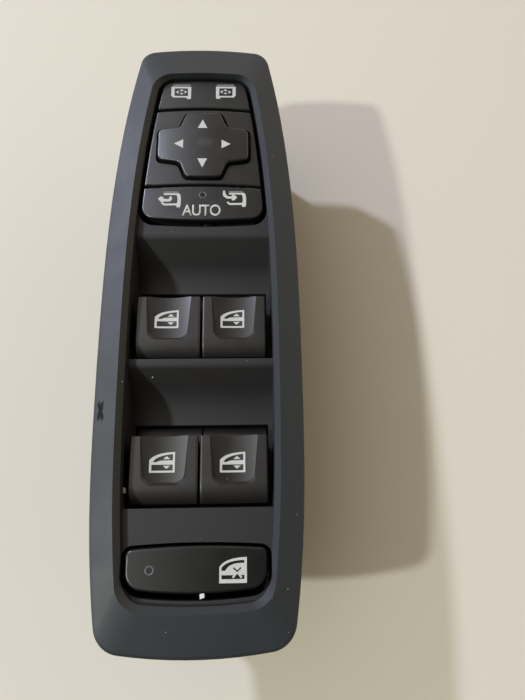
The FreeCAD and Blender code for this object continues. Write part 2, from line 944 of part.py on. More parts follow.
def dish(middle, lip):
    """The finger dish: a trough open at the lip, closed by a rounded slope behind."""
    half = dish_width / 2
    trough_radius = (half ** 2 + dish_depth ** 2) / (2 * dish_depth)
    bottom = key_lip_z - dish_depth
    ahead = key_ledge_reach
    turn = 1 - math.sqrt(0.5)
    trough = rod(
        trough_radius,
        V(middle, lip - key_length, bottom + trough_radius),
        V(middle, lip + ahead, bottom + trough_radius),
    )

    def plan(z, grow):
        y0, y1 = lip - dish_length - grow, lip + ahead
        x0, x1 = middle - half - grow, middle + half + grow
        corner = dish_corner
        points = [V(x1, y1, z), V(x0, y1, z)]
        left = V(x0 + dish_narrow, y0, z)
        right = V(x1 - dish_narrow, y0, z)
        slant_l = (left - V(x0, y1, z)).normalize()
        slant_r = (right - V(x1, y1, z)).normalize()
        a, b = left - slant_l * corner, left + V(corner, 0, 0)
        c, d = right - V(corner, 0, 0), right - slant_r * corner
        mid_l = left + (a - left) * turn + (b - left) * turn
        mid_r = right + (c - right) * turn + (d - right) * turn
        edges = [
            Part.makeLine(points[0], points[1]),
            Part.makeLine(points[1], a),
            Part.Arc(a, mid_l, b).toShape(),
            Part.makeLine(b, c),
            Part.Arc(c, mid_r, d).toShape(),
            Part.makeLine(d, points[0]),
        ]
        return Part.Wire(Part.__sortEdges__(edges))

    mouth = stack(plan(bottom - 0.2, -dish_slope), plan(key_crown_z + bite, dish_flare))
    return mouth.common(trough)


# Sliding contacts: a moulded block on the board, a slider for each key, two leaf springs each
def contact_block(lip):
    pivot_y = lip - pivot_back
    half = slider_width / 2 + running_gap
    x0, x1 = key_limits(1)
    wide = (x0 + x1) / 2 + half + rail_thickness + block_flange
    low, high = pivot_y - block_end, pivot_y + block_end
    body = box(-wide, wide, low, high, board_top_z, board_top_z + block_plate)
    pieces = []
    top = board_top_z + rail_height
    for side in key_sides.values():
        x0, x1 = key_limits(side)
        middle = (x0 + x1) / 2
        for edge in (middle - half - rail_thickness, middle + half):
            pieces.append(box(edge, edge + rail_thickness, low, high, board_top_z, top))
        for y in (low, high - rail_thickness):
            pieces.append(box(middle - half, middle + half, y, y + rail_thickness, board_top_z, top))
    return join(body, *pieces)


def slider(side, lip):
    x0, x1 = key_limits(side)
    middle = (x0 + x1) / 2
    pivot_y = lip - pivot_back
    half, length = slider_width / 2, slider_length / 2
    bottom = board_top_z + block_plate + slide_gap
    shoulder = slider_top_z - slider_shoulder
    body = box(middle - half, middle + half, pivot_y - length, pivot_y + length, bottom, shoulder)
    tower = box(
        middle - half + tower_inset, middle + half - tower_inset,
        pivot_y - tower_half, pivot_y + tower_half,
        bottom, slider_top_z,
    )
    slot_half = tongue_ball + ball_clearance
    slot_x = tongue_half_width + ball_end_gap
    slot_floor = tongue_ball_z - tongue_ball - slider_slot_gap
    slot = box(
        middle - slot_x, middle + slot_x, pivot_y - slot_half, pivot_y + slot_half,
        slot_floor, slider_top_z + past,
    )
    return join(body, tower).cut(slot)


def centring_springs(side, lip):
    """Two bowed leaves that push the slider back to the middle."""
    x0, x1 = key_limits(side)
    middle = (x0 + x1) / 2
    pivot_y = lip - pivot_back
    z = board_top_z + block_plate + spring_lift
    leaves = []
    for forward in (-1, 1):
        wall = pivot_y + forward * (block_end - rail_thickness)
        face = pivot_y + forward * slider_length / 2
        back = wall - forward * (spring_leaf / 2 + spring_seat_gap)
        tip = face + forward * (spring_leaf / 2 + spring_tip_gap)
        points = [
            (middle - spring_half, back),
            (middle - spring_half + spring_foot, back),
            (middle - spring_tip, tip),
            (middle + spring_tip, tip),
            (middle + spring_half - spring_foot, back),
            (middle + spring_half, back),
        ]
        leaves.append(strip(points, spring_leaf, spring_width, lambda a, b, c: V(a, b, z + c)))
    return Part.makeCompound(leaves)


# Lock key: a wide push key that slides in sleeves of the housing
def lock_key():
    body = bowed_plate(
        lock_half_width,
        (lock_rear_y, lock_front_y),
        (lock_skirt_z, lock_top_z),
        (lock_rear_bow, lock_front_bow),
        (lock_rear_round, lock_front_round),
    )
    body = body.makeFillet(lock_edge_round, top_edges(body, lock_top_z))
    w = lock_wall
    cavity = bowed_plate(
        lock_half_width - w,
        (lock_rear_y + w, lock_front_y - w),
        (lock_skirt_z - past, lock_top_z - lock_roof),
        (lock_rear_bow, lock_front_bow),
        (lock_rear_round - w, lock_front_round / 2),
    )
    body = body.cut(cavity)
    top = lock_top_z - lock_roof + bite
    pieces = []
    for side in (-1, 1):
        pieces.append(
            box(
                side * lock_leg_x - lock_leg_width / 2, side * lock_leg_x + lock_leg_width / 2,
                lock_y - lock_leg_depth / 2, lock_y + lock_leg_depth / 2,
                lock_leg_bottom, top,
            )
        )
    plunger_bottom = board_top_z + mat_sheet + dome_height + dome_gap
    pieces.append(rod(lock_plunger_radius, V(0, lock_y, plunger_bottom), V(0, lock_y, top)))
    body = join(body, *pieces)
    fit = lens_radius + lens_fit
    return body.cut(rod(fit, V(-lens_x, lock_y, lock_skirt_z), V(-lens_x, lock_y, lock_top_z + past)))


def lens(x, y, z0, z1):
    """A small clear window that lets the lamp below show."""
    return rod(lens_radius, V(x, y, z0), V(x, y, z1))


def dome(x, y, z):
    """One hollow rubber dome standing on a sheet at height z."""
    foot = Part.makeCone(dome_radius, dome_top_radius, dome_height, V(x, y, z))
    inside = Part.makeCone(
        dome_radius - dome_skin, dome_top_radius - dome_skin, dome_height - dome_skin, V(x, y, z)
    )
    return foot.cut(inside)


def lock_dome():
    """Rubber return dome under the lock key's plunger."""
    half = 2 * dome_radius
    sheet = box(-half, half, lock_y - half, lock_y + half, board_top_z, board_top_z + mat_sheet)
    return join(sheet, dome(0, lock_y, board_top_z + mat_sheet))


# Mirror controls: case, board, rubber mat, two rockers, surround plate and four-way pad
def rocker_centre(y_rear, y_front):
    return (y_rear + y_front) / 2


def rocker_places():
    """Rear and front end of the two rocker keys, then of the ribs that carry their pins."""
    select = (select_rear_y, select_front_y, select_rear_y + rib_margin, select_front_y - rib_margin)
    fold = (fold_rear_y, fold_front_y, fold_rear_y + rib_margin, fold_lens_y - rib_margin)
    return select, fold


def prong_x():
    """X of the prongs under the rocker keys, set by the narrower key in front."""
    return side_x(rocker_centre(select_rear_y, select_front_y), block_inset + prong_inset)


def rocker_key(place, bows, rounds):
    y_rear, y_front, rib_rear, rib_front = place
    plate = tapered_plate(
        block_inset, y_rear, y_front, mirror_face_z - mirror_plate, mirror_face_z, bows, rounds
    )
    plate = plate.makeFillet(mirror_edge_round, top_edges(plate, mirror_face_z))
    under = mirror_face_z - mirror_plate
    half = rocker_rib_half
    rib = box(-half, half, rib_rear, rib_front, rocker_axis_z - rocker_rib_drop, under + bite)
    reach = rocker_post - pin_end_gap
    axle = rod(
        rocker_pin_radius,
        V(0, rib_rear - reach, rocker_axis_z),
        V(0, rib_front + reach, rocker_axis_z),
    )
    centre = rocker_centre(y_rear, y_front)
    prongs = [
        rod(prong_radius, V(x, centre, prong_z), V(x, centre, under + bite))
        for x in (-prong_x(), prong_x())
    ]
    return join(plate, rib, axle, *prongs)


def mirror_case():
    y0, y1 = fold_rear_y + case_rear_margin, select_front_y - case_front_margin
    outer = tapered_plate(case_inset, y0, y1, case_bottom_z, case_top_z, (0, 0), (case_corner, case_corner))
    inner = tapered_plate(
        case_inset + case_wall, y0 + case_wall, y1 - case_wall,
        case_bottom_z + case_floor, case_top_z + past,
    )
    body = outer.cut(inner)
    floor = case_bottom_z + case_floor - bite
    pieces = []
    holes = []
    for y_rear, y_front, rib_rear, rib_front in rocker_places():
        half, head = rocker_post_half, rocker_axis_z + post_head
        for y in (rib_front + rocker_post_gap, rib_rear - rocker_post_gap - rocker_post):
            pieces.append(box(-half, half, y, y + rocker_post, floor, head))
        holes.append(
            rod(
                rocker_pin_radius + pin_clearance,
                V(0, rib_rear - rocker_post - pin_end_gap, rocker_axis_z),
                V(0, rib_front + rocker_post + pin_end_gap, rocker_axis_z),
            )
        )
    for forward in (-1, 1):
        y = pad_y + forward * (ring_outer + ring_gap)
        low, high = sorted((y, y + forward * gimbal_post))
        half, head = gimbal_post_half, pad_axis_z + post_head
        pieces.append(box(-half, half, low, high, floor, head))
    reach = ring_outer + gimbal_post + ring_pin_gap
    holes.append(
        rod(
            gimbal_pin_radius + pin_clearance,
            V(0, pad_y - reach, pad_axis_z),
            V(0, pad_y + reach, pad_axis_z),
        )
    )
    body = join(body, *pieces)
    for hole in holes:
        body = body.cut(hole)
    return body.cut(link_slot(case_bottom_z - past, case_bottom_z + case_floor + past))


def link_slot(z0, z1):
    """Clearance slot for the header pins."""
    half = link_count * link_pitch / 2 + link_end_gap
    return box(-half, half, link_y - link_slot_half, link_y + link_slot_half, z0, z1)


def mirror_board_shape(z0, z1):
    """Board or mat plan inside the case, with gaps round the case's posts."""
    gap = board_side_gap
    y0 = fold_rear_y + case_rear_margin + case_wall + gap
    y1 = select_front_y - case_front_margin - case_wall - gap
    plate = tapered_plate(case_inset + case_wall + gap, y0, y1, z0, z1)
    notches = []
    for y_rear, y_front, rib_rear, rib_front in rocker_places():
        for y in (rib_front + rocker_post_gap, rib_rear - rocker_post_gap - rocker_post):
            notches.append((rocker_post_half, y, y + rocker_post))
    for forward in (-1, 1):
        y = pad_y + forward * (ring_outer + ring_gap)
        low, high = sorted((y, y + forward * gimbal_post))
        notches.append((gimbal_post_half, low, high))
    for half, low, high in notches:
        notch = box(-half - gap, half + gap, low - gap, high + gap, z0 - past, z1 + past)
        plate = plate.cut(notch)
    return plate


def dome_places():
    """Where the mirror keys and the pad press."""
    places = []
    for y_rear, y_front, _, _ in rocker_places():
        centre = rocker_centre(y_rear, y_front)
        places += [(-prong_x(), centre), (prong_x(), centre)]
    reach_x, reach_y = pad_half_x() - pad_prong_inset, pad_half_y - pad_prong_back
    places += [(-reach_x, pad_y), (reach_x, pad_y)]
    places += [(0, pad_y - reach_y), (0, pad_y + reach_y)]
    return places


def mirror_mat():
    sheet = mirror_board_shape(mat_z, mat_z + mat_sheet)
    domes = [dome(x, y, mat_z + mat_sheet) for x, y in dome_places()]
    lamp_hole = rod(lamp_width, V(0, fold_lens_y, mat_z - past), V(0, fold_lens_y, prong_z))
    return join(sheet, *domes).cut(lamp_hole)


def mirror_board_plate():
    return mirror_board_shape(mirror_board_z, mat_z)


def pad_half_x():
    """Half the pad's width: the surround's half width there, less a margin."""
    return side_x(pad_y, block_inset) - pad_margin


def cross_outline(grow, z):
    """Plan of the four-way pad: four arms that widen to the middle."""
    ex, ey = pad_half_x() + grow, pad_half_y + grow
    ax, ay = pad_arm_end_x + grow, pad_arm_end_y + grow
    rx, ry = pad_arm_root_x + grow, pad_arm_root_y + grow
    quarter = [(ex, ay), (rx, ry), (ax, ey)]
    points = quarter + [(-x, y) for x, y in quarter[::-1]]
    points += [(-x, -y) for x, y in quarter] + [(x, -y) for x, y in quarter[::-1]]
    loop = [V(x, pad_y + y, z) for x, y in points]
    return Part.makePolygon(loop + [loop[0]])


def cross_solid(grow, z0, z1, radius):
    """The pad's plan as a solid with every upright edge rounded."""
    body = prism(cross_outline(grow, z0), z1 - z0)
    upright = [e for e in body.Edges if e.BoundBox.ZLength > (z1 - z0) * 0.99]
    return body.makeFillet(radius, upright)


def mirror_pad():
    bottom = pad_top_z - pad_plate
    plate = cross_solid(0, bottom, pad_top_z, pad_end_round)
    plate = plate.makeFillet(mirror_edge_round, top_edges(plate, pad_top_z))
    stem = box(
        -stem_half, stem_half, pad_y - stem_half, pad_y + stem_half,
        pad_axis_z - stem_drop, bottom + bite,
    )
    pin_end = ring_outer - ring_pin_gap
    axle = rod(
        gimbal_pin_radius, V(-pin_end, pad_y, pad_axis_z), V(pin_end, pad_y, pad_axis_z)
    )
    prongs = []
    for x, y in dome_places()[4:]:
        prongs.append(rod(prong_radius, V(x, y, prong_z), V(x, y, bottom + bite)))
    return join(plate, stem, axle, *prongs)


def pad_gimbal():
    z0, z1 = pad_axis_z - ring_height / 2, pad_axis_z + ring_height / 2
    ring = box(-ring_outer, ring_outer, pad_y - ring_outer, pad_y + ring_outer, z0, z1)
    ring = ring.cut(
        box(
            -ring_inner, ring_inner, pad_y - ring_inner, pad_y + ring_inner, z0 - past, z1 + past
        )
    )
    cross_hole = rod(
        gimbal_pin_radius + pin_clearance,
        V(-ring_outer - past, pad_y, pad_axis_z),
        V(ring_outer + past, pad_y, pad_axis_z),
    )
    ring = ring.cut(cross_hole)
    reach = ring_outer + gimbal_post
    pins = [
        rod(
            gimbal_pin_radius,
            V(0, pad_y + forward * (ring_outer - bite), pad_axis_z),
            V(0, pad_y + forward * reach, pad_axis_z),
        )
        for forward in (-1, 1)
    ]
    return join(ring, *pins)


def mirror_surround():
    """Fixed plate round the four-way pad, seated on the case."""
    plate = tapered_plate(
        block_inset, surround_rear_y, surround_front_y, case_top_z, mirror_face_z,
        (divider_bow, divider_bow),
    )
    plate = plate.makeFillet(mirror_edge_round, top_edges(plate, mirror_face_z))
    hollow = tapered_plate(
        block_inset + surround_side_wall,
        surround_rear_y + surround_end_wall, surround_front_y - surround_end_wall,
        case_top_z - past, mirror_face_z - surround_roof,
    )
    plate = plate.cut(hollow)
    return plate.cut(cross_solid(pad_gap, case_top_z - past, mirror_face_z + past, pad_end_round))


# Housing: the upper shell with pivot posts, sleeves for the lock key and screw ears
def key_posts():
    posts = []
    for lip in key_rows.values():
        y = lip - pivot_back
        for side in key_sides.values():
            x0, x1 = key_limits(side)
            inner_faces = (x0 + key_wall + post_gap, x1 - key_wall - post_gap)
            for face, outward in zip(inner_faces, (-1, 1)):
                back = face - outward * post_thickness
                tip = face + outward * (key_wall + post_gap - pin_end_gap)
                low, high = sorted((face, back))
                posts.append(box(low, high, y - post_half, y + post_half, roof_z - bite, pivot_z))
                posts.append(rod(post_half, V(low, y, pivot_z), V(high, y, pivot_z)))
                posts.append(rod(pin_radius, V(back, y, pivot_z), V(tip, y, pivot_z)))
    return posts


def switch_housing():
    grow = foot_inset - tub_inset
    outer = prism(well_ring(seam_z, grow), tub_bottom_z - seam_z)
    inner_grow = grow - housing_wall
    chamber_top = roof_z - roof_thickness
    chamber = prism(well_ring(seam_z - past, inner_grow), chamber_top - seam_z + past)
    body = outer.cut(chamber)
    open_z = tub_bottom_z + past
    recess = prism(well_ring(roof_z, inner_grow), open_z - roof_z)
    platform_y = front_scoop_y - scoop_wall
    wide = waist_half_width
    low_part = recess.common(box(-wide, wide, -bezel_end, platform_y, roof_z, open_z))
    high_part = recess.common(box(-wide, wide, platform_y, bezel_end, case_bottom_z, open_z))
    body = body.cut(low_part).cut(high_part)
    pieces = key_posts()
    holes = []
    for side in (-1, 1):
        x = side * lock_leg_x
        hx, hy = lock_leg_width / 2 + running_gap, lock_leg_depth / 2 + running_gap
        ox, oy = hx + lock_sleeve_wall, hy + lock_sleeve_wall
        sleeve_top = lock_skirt_z - 2 * lock_travel
        pieces.append(box(x - ox, x + ox, lock_y - oy, lock_y + oy, roof_z - bite, sleeve_top))
        holes.append(box(x - hx, x + hx, lock_y - hy, lock_y + hy, roof_z, sleeve_top + past))
    holes.append(
        rod(lock_plunger_radius + running_gap, V(0, lock_y, seam_z), V(0, lock_y, tub_bottom_z))
    )
    holes.append(link_slot(chamber_top - past, case_bottom_z + past))
    pipe_top = tub_bottom_z + pipe_sleeve
    pipe_hole = lens_radius + pipe_gap
    pieces.append(
        rod(pipe_hole + pipe_wall, V(-lens_x, lock_y, roof_z - bite), V(-lens_x, lock_y, pipe_top))
    )
    holes.append(rod(pipe_hole, V(-lens_x, lock_y, seam_z), V(-lens_x, lock_y, pipe_top + past)))
    for lip in key_rows.values():
        y = lip - pivot_back
        for side in key_sides.values():
            x0, x1 = key_limits(side)
            middle = (x0 + x1) / 2
            wide, long = tongue_half_width + past, tongue_arm * math.tan(math.radians(8)) + past
            holes.append(
                box(middle - wide, middle + wide, y - long, y + long, chamber_top - past, roof_z + past)
            )
    for x, y in screw_places():
        ear, low = boss_radius + ear_margin, tub_bottom_z - ear_thickness
        pieces.append(rod(ear, V(x, y, low), V(x, y, tub_bottom_z)))
        side = 1 if x > 0 else -1
        inner = abs(x) - boss_radius - ear_bite
        pieces.append(mirrored_box(side, inner, abs(x), y - ear, y + ear, low, tub_bottom_z))
        holes.append(rod(screw_radius + screw_hole_gap, V(x, y, seam_z), V(x, y, open_z)))
    for side, y in hook_places():
        root, tip = housing_side(y) - past, housing_side(y) + hook_bite + hook_gap
        start = y - hook_width / 2 + wedge_inset
        corners = [
            V(side * root, start, seam_z + wedge_foot),
            V(side * tip, start, seam_z + wedge_foot + wedge_rise),
            V(side * tip, start, seam_z + wedge_top),
            V(side * root, start, seam_z + wedge_top),
        ]
        wedge = Part.Face(Part.makePolygon(corners + [corners[0]]))
        pieces.append(wedge.extrude(V(0, hook_width - 2 * wedge_inset, 0)))
    body = join(body, *pieces)
    for hole in holes:
        body = body.cut(hole)
    return body


def housing_side(y):
    """X of the housing's outer face at a station."""
    return side_x(y, tub_inset)


def hook_places():
    """Side and station of each snap hook of the base cover."""
    end = bezel_end - hook_from_end
    stations = [end - 2 * end * n / (hook_count - 1) for n in range(hook_count)]
    return [(side, y) for y in stations for side in (-1, 1)]


def base_cover():
    grow = foot_inset - tub_inset
    tray = prism(well_ring(cover_floor_z, grow), seam_z - cover_floor_z)
    foot = rounded_plate(
        -foot_half_width, foot_half_width, foot_rear_y, foot_front_y, 0, cover_floor_z + bite,
        foot_corner, foot_corner,
    )
    body = join(tray, foot)
    body = body.cut(
        prism(well_ring(cover_floor_z + cover_floor, grow - housing_wall), seam_z)
    )
    w = foot_wall
    body = body.cut(
        rounded_plate(
            -foot_half_width + w, foot_half_width - w, foot_rear_y + w, foot_front_y - w,
            w, cover_floor_z + cover_floor + past, foot_corner - w, foot_corner - w,
        )
    )
    gap = socket_gap
    body = body.cut(
        box(
            -socket_half_x - gap, socket_half_x + gap,
            socket_y - socket_half_y - gap, socket_y + socket_half_y + gap, -past, w + past,
        )
    )
    pieces = []
    for x, y in peg_places():
        pieces.append(rod(peg_radius, V(x, y, cover_floor_z + bite), V(x, y, board_z)))
    for side, y in hook_places():
        face = housing_side(y)
        inner = face + hook_bite + 2 * hook_gap
        outer = inner + hook_thickness
        y0, y1 = y - hook_width / 2, y + hook_width / 2
        low, top = cover_floor_z + past, cover_floor_z + past + hook_reach
        pieces.append(mirrored_box(side, face - bite, outer, y0, y1, low, low + hook_root))
        edge = hook_leg - hook_thickness
        for start in (y0 - edge, y1 - hook_thickness):
            pieces.append(mirrored_box(side, inner, outer, start, start + hook_leg, low, top))
        pieces.append(mirrored_box(side, inner, outer, y0 - edge, y1 + edge, top - hook_bar, top))
    return join(body, *pieces)


def peg_places():
    """Pegs that carry the board, in the shallow ends of the cover."""
    end = bezel_end - peg_from_end
    stations = (end, foot_front_y + peg_from_foot, foot_rear_y - peg_from_foot, -end)
    return [(side * side_x(y, peg_inset), y) for y in stations for side in (-1, 1)]


def circuit_board():
    grow = foot_inset - tub_inset - housing_wall - board_margin
    return prism(well_ring(board_z, grow), board_thickness)


def connector_header():
    x, y = socket_half_x, socket_half_y
    body = box(-x, x, socket_y - y, socket_y + y, socket_recess, board_z)
    w = socket_wall
    body = body.cut(
        box(-x + w, x - w, socket_y - y + w, socket_y + y - w, socket_recess - past, board_z - socket_base)
    )
    inner = socket_y + y - w
    for offset in (-socket_rib_x, socket_rib_x):
        rib = box(
            offset - socket_rib / 2, offset + socket_rib / 2, inner - socket_rib, inner + bite,
            socket_recess + socket_rib, board_z - socket_base + bite,
        )
        body = join(body, rib)
    return body


def connector_pins():
    pins = []
    half = pin_size / 2
    for row in range(pin_rows):
        y = socket_y + (row - (pin_rows - 1) / 2) * pin_pitch * 2
        for column in range(pins_per_row):
            x = (column - (pins_per_row - 1) / 2) * pin_pitch
            top = board_z - socket_base
            pins.append(box(x - half, x + half, y - half, y + half, pin_bottom_z, top))
    return Part.makeCompound(pins)


def housing_screws():
    screws = []
    for x, y in screw_places():
        seat = tub_bottom_z - ear_thickness
        low = seat - screw_head_height
        head = rod(screw_head_radius, V(x, y, low), V(x, y, seat))
        head = head.makeFillet(screw_head_round, top_edges(head, low))
        shank = rod(screw_radius, V(x, y, seat - bite), V(x, y, seat + screw_length))
        screws.append(join(head, shank))
    return Part.makeCompound(screws)


def light_pipe():
    low = board_top_z + lamp_height + pipe_gap
    high = lock_skirt_z - lock_travel - past
    return rod(lens_radius, V(-lens_x, lock_y, low), V(-lens_x, lock_y, high))


def lamps():
    """Small lamps on the two boards, under the lock key's pipe and the fold key's window."""
    places = ((-lens_x, lock_y, board_top_z), (0, fold_lens_y, mat_z))
    x_half, y_half = lamp_length / 2, lamp_width / 2
    return Part.makeCompound(
        [
            box(x - x_half, x + x_half, y - y_half, y + y_half, z, z + lamp_height)
            for x, y, z in places
        ]
    )


def link_pins():
    """Header pins that join the mirror board to the main board."""
    pins = []
    half = link_size / 2
    for n in range(link_count):
        x = (n - (link_count - 1) / 2) * link_pitch
        y = link_y
        pins.append(box(x - half, x + half, y - half, y + half, board_top_z, mirror_board_z))
    return Part.makeCompound(pins)


keep("bezel", bezel())
keep("retaining_clips", retaining_clips())
for row, lip in key_rows.items():
    keep(row + "_contact_block", contact_block(lip))
    for hand, side in key_sides.items():
        name = row + "_" + hand
        keep(name + "_key", window_key(side, lip))
        keep(name + "_slider", slider(side, lip))
        keep(name + "_springs", centring_springs(side, lip))
keep("lock_key", lock_key())
keep("lock_lens", lens(-lens_x, lock_y, lock_top_z - lens_depth, lock_top_z))
keep("lock_dome", lock_dome())
keep("lock_light_pipe", light_pipe())
keep("mirror_case", mirror_case())
keep("mirror_board", mirror_board_plate())
keep("mirror_mat", mirror_mat())
select_place, fold_place = rocker_places()
keep("mirror_select_key", rocker_key(select_place, (divider_bow, end_bow), (0.0, mirror_corner)))
lens_hole = rod(lens_radius + lens_fit, V(0, fold_lens_y, 0), V(0, fold_lens_y, rim_crest_z))
fold_key = rocker_key(fold_place, (-end_bow, divider_bow), (mirror_corner, 0.0))
keep("mirror_fold_key", fold_key.cut(lens_hole))
keep("fold_lens", lens(0, fold_lens_y, mirror_face_z - lens_depth, mirror_face_z))
keep("mirror_surround", mirror_surround())
keep("mirror_pad", mirror_pad())
keep("pad_gimbal", pad_gimbal())
keep("switch_housing", switch_housing())
keep("base_cover", base_cover())
keep("circuit_board", circuit_board())
keep("connector_header", connector_header())
keep("connector_pins", connector_pins())
keep("housing_screws", housing_screws())
keep("indicator_lamps", lamps())
keep("link_pins", link_pins())

for name, shape in nodes.items():
    solids = shape.Solids
    state = "valid" if shape.isValid() else "INVALID"
    print(name, len(solids), "solid", round(shape.Volume), "mm3", state)
    shape.exportStep("parts/" + name + ".step")
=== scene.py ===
# %% [markdown]
# # A driver's door switch panel
# This lesson dresses a switch panel that was drawn as solids: a long soft-touch bezel with four window
# keys, a lock key and a block of mirror controls. The solids already have the right shapes, so the work
# here is finish: the grain and sheen of each plastic, the white symbols that are printed on the keys,
# the small lamp windows, the screws, and the marks of use.

import math

import bmesh
import bpy
from mathutils import Matrix, Vector


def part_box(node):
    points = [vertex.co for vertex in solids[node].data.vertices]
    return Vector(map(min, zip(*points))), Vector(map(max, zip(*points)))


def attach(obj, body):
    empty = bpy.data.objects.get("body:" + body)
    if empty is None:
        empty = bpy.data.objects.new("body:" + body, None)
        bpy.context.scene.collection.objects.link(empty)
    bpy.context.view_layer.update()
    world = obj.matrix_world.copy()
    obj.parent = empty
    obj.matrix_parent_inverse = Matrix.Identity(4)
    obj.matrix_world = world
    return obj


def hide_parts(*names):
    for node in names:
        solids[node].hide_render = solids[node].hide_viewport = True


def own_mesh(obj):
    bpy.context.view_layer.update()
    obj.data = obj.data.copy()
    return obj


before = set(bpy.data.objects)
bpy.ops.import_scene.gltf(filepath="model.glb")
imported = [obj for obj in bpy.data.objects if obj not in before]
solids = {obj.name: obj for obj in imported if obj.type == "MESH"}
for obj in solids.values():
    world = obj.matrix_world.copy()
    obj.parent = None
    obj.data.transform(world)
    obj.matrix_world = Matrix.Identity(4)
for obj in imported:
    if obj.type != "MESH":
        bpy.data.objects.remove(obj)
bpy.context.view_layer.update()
mm = 0.001

# %% [markdown]
# ## The camera
# The panel was looked at from above its keys and a little from its rear end, by a phone held level
# with the table. A camera's place and three turns say all of that. Depth of field stays off.

# %% Put the camera where the picture was taken
lens_mm, sensor_mm = 27.05, 36.0
camera_place = Vector((15.17, -59.72, 220.59)) * mm
pitch, roll, yaw = (math.radians(angle) for angle in (15.0, -0.37, -1.79))

camera_data = bpy.data.cameras.new("camera")
camera_data.lens, camera_data.sensor_width = lens_mm, sensor_mm
camera_data.clip_start = 0.01
camera = bpy.data.objects.new("camera", camera_data)
turn = Matrix.Rotation(pitch, 4, "X") @ Matrix.Rotation(yaw, 4, "Y") @ Matrix.Rotation(roll, 4, "Z")
camera.matrix_world = Matrix.Translation(camera_place) @ turn
bpy.context.scene.collection.objects.link(camera)
bpy.context.scene.camera = camera
bpy.context.scene.view_settings.view_transform = "Standard"
print("camera at mm:", [round(v / mm, 1) for v in camera_place])

# %% [markdown]
# ## A helper for shader and geometry nodes
# Node trees are easier to read when each node is one line. `put` adds a node, sets its options, and
# fills its inputs: a plain value is written on the socket, and another node's output is joined to it.

# %% A one-line way to add a node
def put(tree, kind, options=None, **inputs):
    node = tree.nodes.new(kind)
    for name, value in (options or {}).items():
        setattr(node, name, value)
    for name, value in inputs.items():
        label = name.replace("_", " ")
        socket = node.inputs[int(label[1:])] if label[1:].isdigit() else node.inputs[label]
        if isinstance(value, bpy.types.NodeSocket):
            tree.links.new(value, socket)
        else:
            socket.default_value = value
    return node


# %% [markdown]
# ## Table and light
# The panel lies on a plain pale table. Two soft lamps stand to its left, one ahead and one behind, so
# each thing on the table throws two shadows that share a dark core. What is left in that core is the
# light of the room, which is a little warmer than the lamps. The room is a few soft steps of colour:
# bright high on the left, a warm wall low on the right, and little light straight overhead and
# behind. Black plastic shows hardly any colour of its own, so this room is what draws the sheen on
# the keys.

# %% Table
table_mesh = bpy.data.meshes.new("table")
reach = 3.0
table_mesh.from_pydata(
    [(-reach, -reach, 0), (reach, -reach, 0), (reach, reach, 0), (-reach, reach, 0)], [], [(0, 1, 2, 3)]
)
table = bpy.data.objects.new("table", table_mesh)
bpy.context.scene.collection.objects.link(table)

table_finish = bpy.data.materials.new("table_top")
table_finish.use_nodes = True
tree = table_finish.node_tree
coat = tree.nodes["Principled BSDF"]
where = put(tree, "ShaderNodeTexCoord").outputs["Object"]
cloud = put(tree, "ShaderNodeTexNoise", Vector=where, Scale=3.0, Detail=2.0).outputs["Fac"]
tone = put(
    tree, "ShaderNodeMix", {"data_type": "RGBA"},
    Factor=cloud, _6=(0.728, 0.684, 0.588, 1), _7=(0.748, 0.703, 0.606, 1),
)
tree.links.new(tone.outputs[2], coat.inputs["Base Color"])
coat.inputs["Roughness"].default_value = 0.75
coat.inputs["Specular IOR Level"].default_value = 0.2
table_mesh.materials.append(table_finish)
print("table reaches m:", reach)

# %% Two soft lamps
def soft_lamp(name, towards, distance, size, share, tint):
    """A round lamp that gives a level surface the stated share of its full light."""
    direction = Vector(towards).normalized()
    data = bpy.data.lights.new(name, "AREA")
    data.shape, data.size = "DISK", size
    data.color = tint
    data.energy = share * math.pi ** 2 * distance ** 2 / direction.z
    lamp = bpy.data.objects.new(name, data)
    lamp.location = direction * distance + Vector((0, 0, 0.05))
    lamp.rotation_mode = "QUATERNION"
    lamp.rotation_quaternion = direction.to_track_quat("Z", "Y")
    bpy.context.scene.collection.objects.link(lamp)
    print(name, "watts:", round(data.energy, 1))


soft_lamp("lamp_behind", (-60.5, -19.0, 55.0), 2.6, 0.15, 0.30, (0.94, 1.0, 0.90))
soft_lamp("lamp_ahead", (-63.7, 50.8, 55.0), 2.6, 0.15, 0.38, (0.74, 0.78, 1.0))

# %% The room round the table
room = bpy.data.worlds.new("room")
bpy.context.scene.world = room
room.use_nodes = True
tree = room.node_tree
sky = tree.nodes["Background"]
facing = put(tree, "ShaderNodeTexCoord").outputs["Generated"]
ways = put(tree, "ShaderNodeSeparateXYZ", Vector=facing).outputs


def ramp(value, start, end, low=0.0, high=1.0):
    """A soft step of a value between two limits."""
    return put(
        tree, "ShaderNodeMapRange", {"interpolation_type": "SMOOTHSTEP"},
        Value=value, From_Min=start, From_Max=end, To_Min=low, To_Max=high,
    ).outputs["Result"]


def blend(factor, first, second):
    """A colour between two colours."""
    return put(
        tree, "ShaderNodeMix", {"data_type": "RGBA"}, Factor=factor, _6=first, _7=second
    ).outputs[2]


overhead = ramp(ways["Z"], 0.45, 0.75)
right_wall = blend(overhead, (1.15, 0.98, 0.73, 1), (0.09, 0.075, 0.055, 1))
left_wall = blend(overhead, (0.35, 0.32, 0.29, 1), (0.95, 0.92, 0.88, 1))
room_colour = blend(ramp(ways["X"], -0.02, -0.30), right_wall, left_wall)
forward = ramp(ways["Y"], -0.75, -0.05, 0.15, 1.0)
tree.links.new(room_colour, sky.inputs["Color"])
tree.links.new(forward, sky.inputs["Strength"])

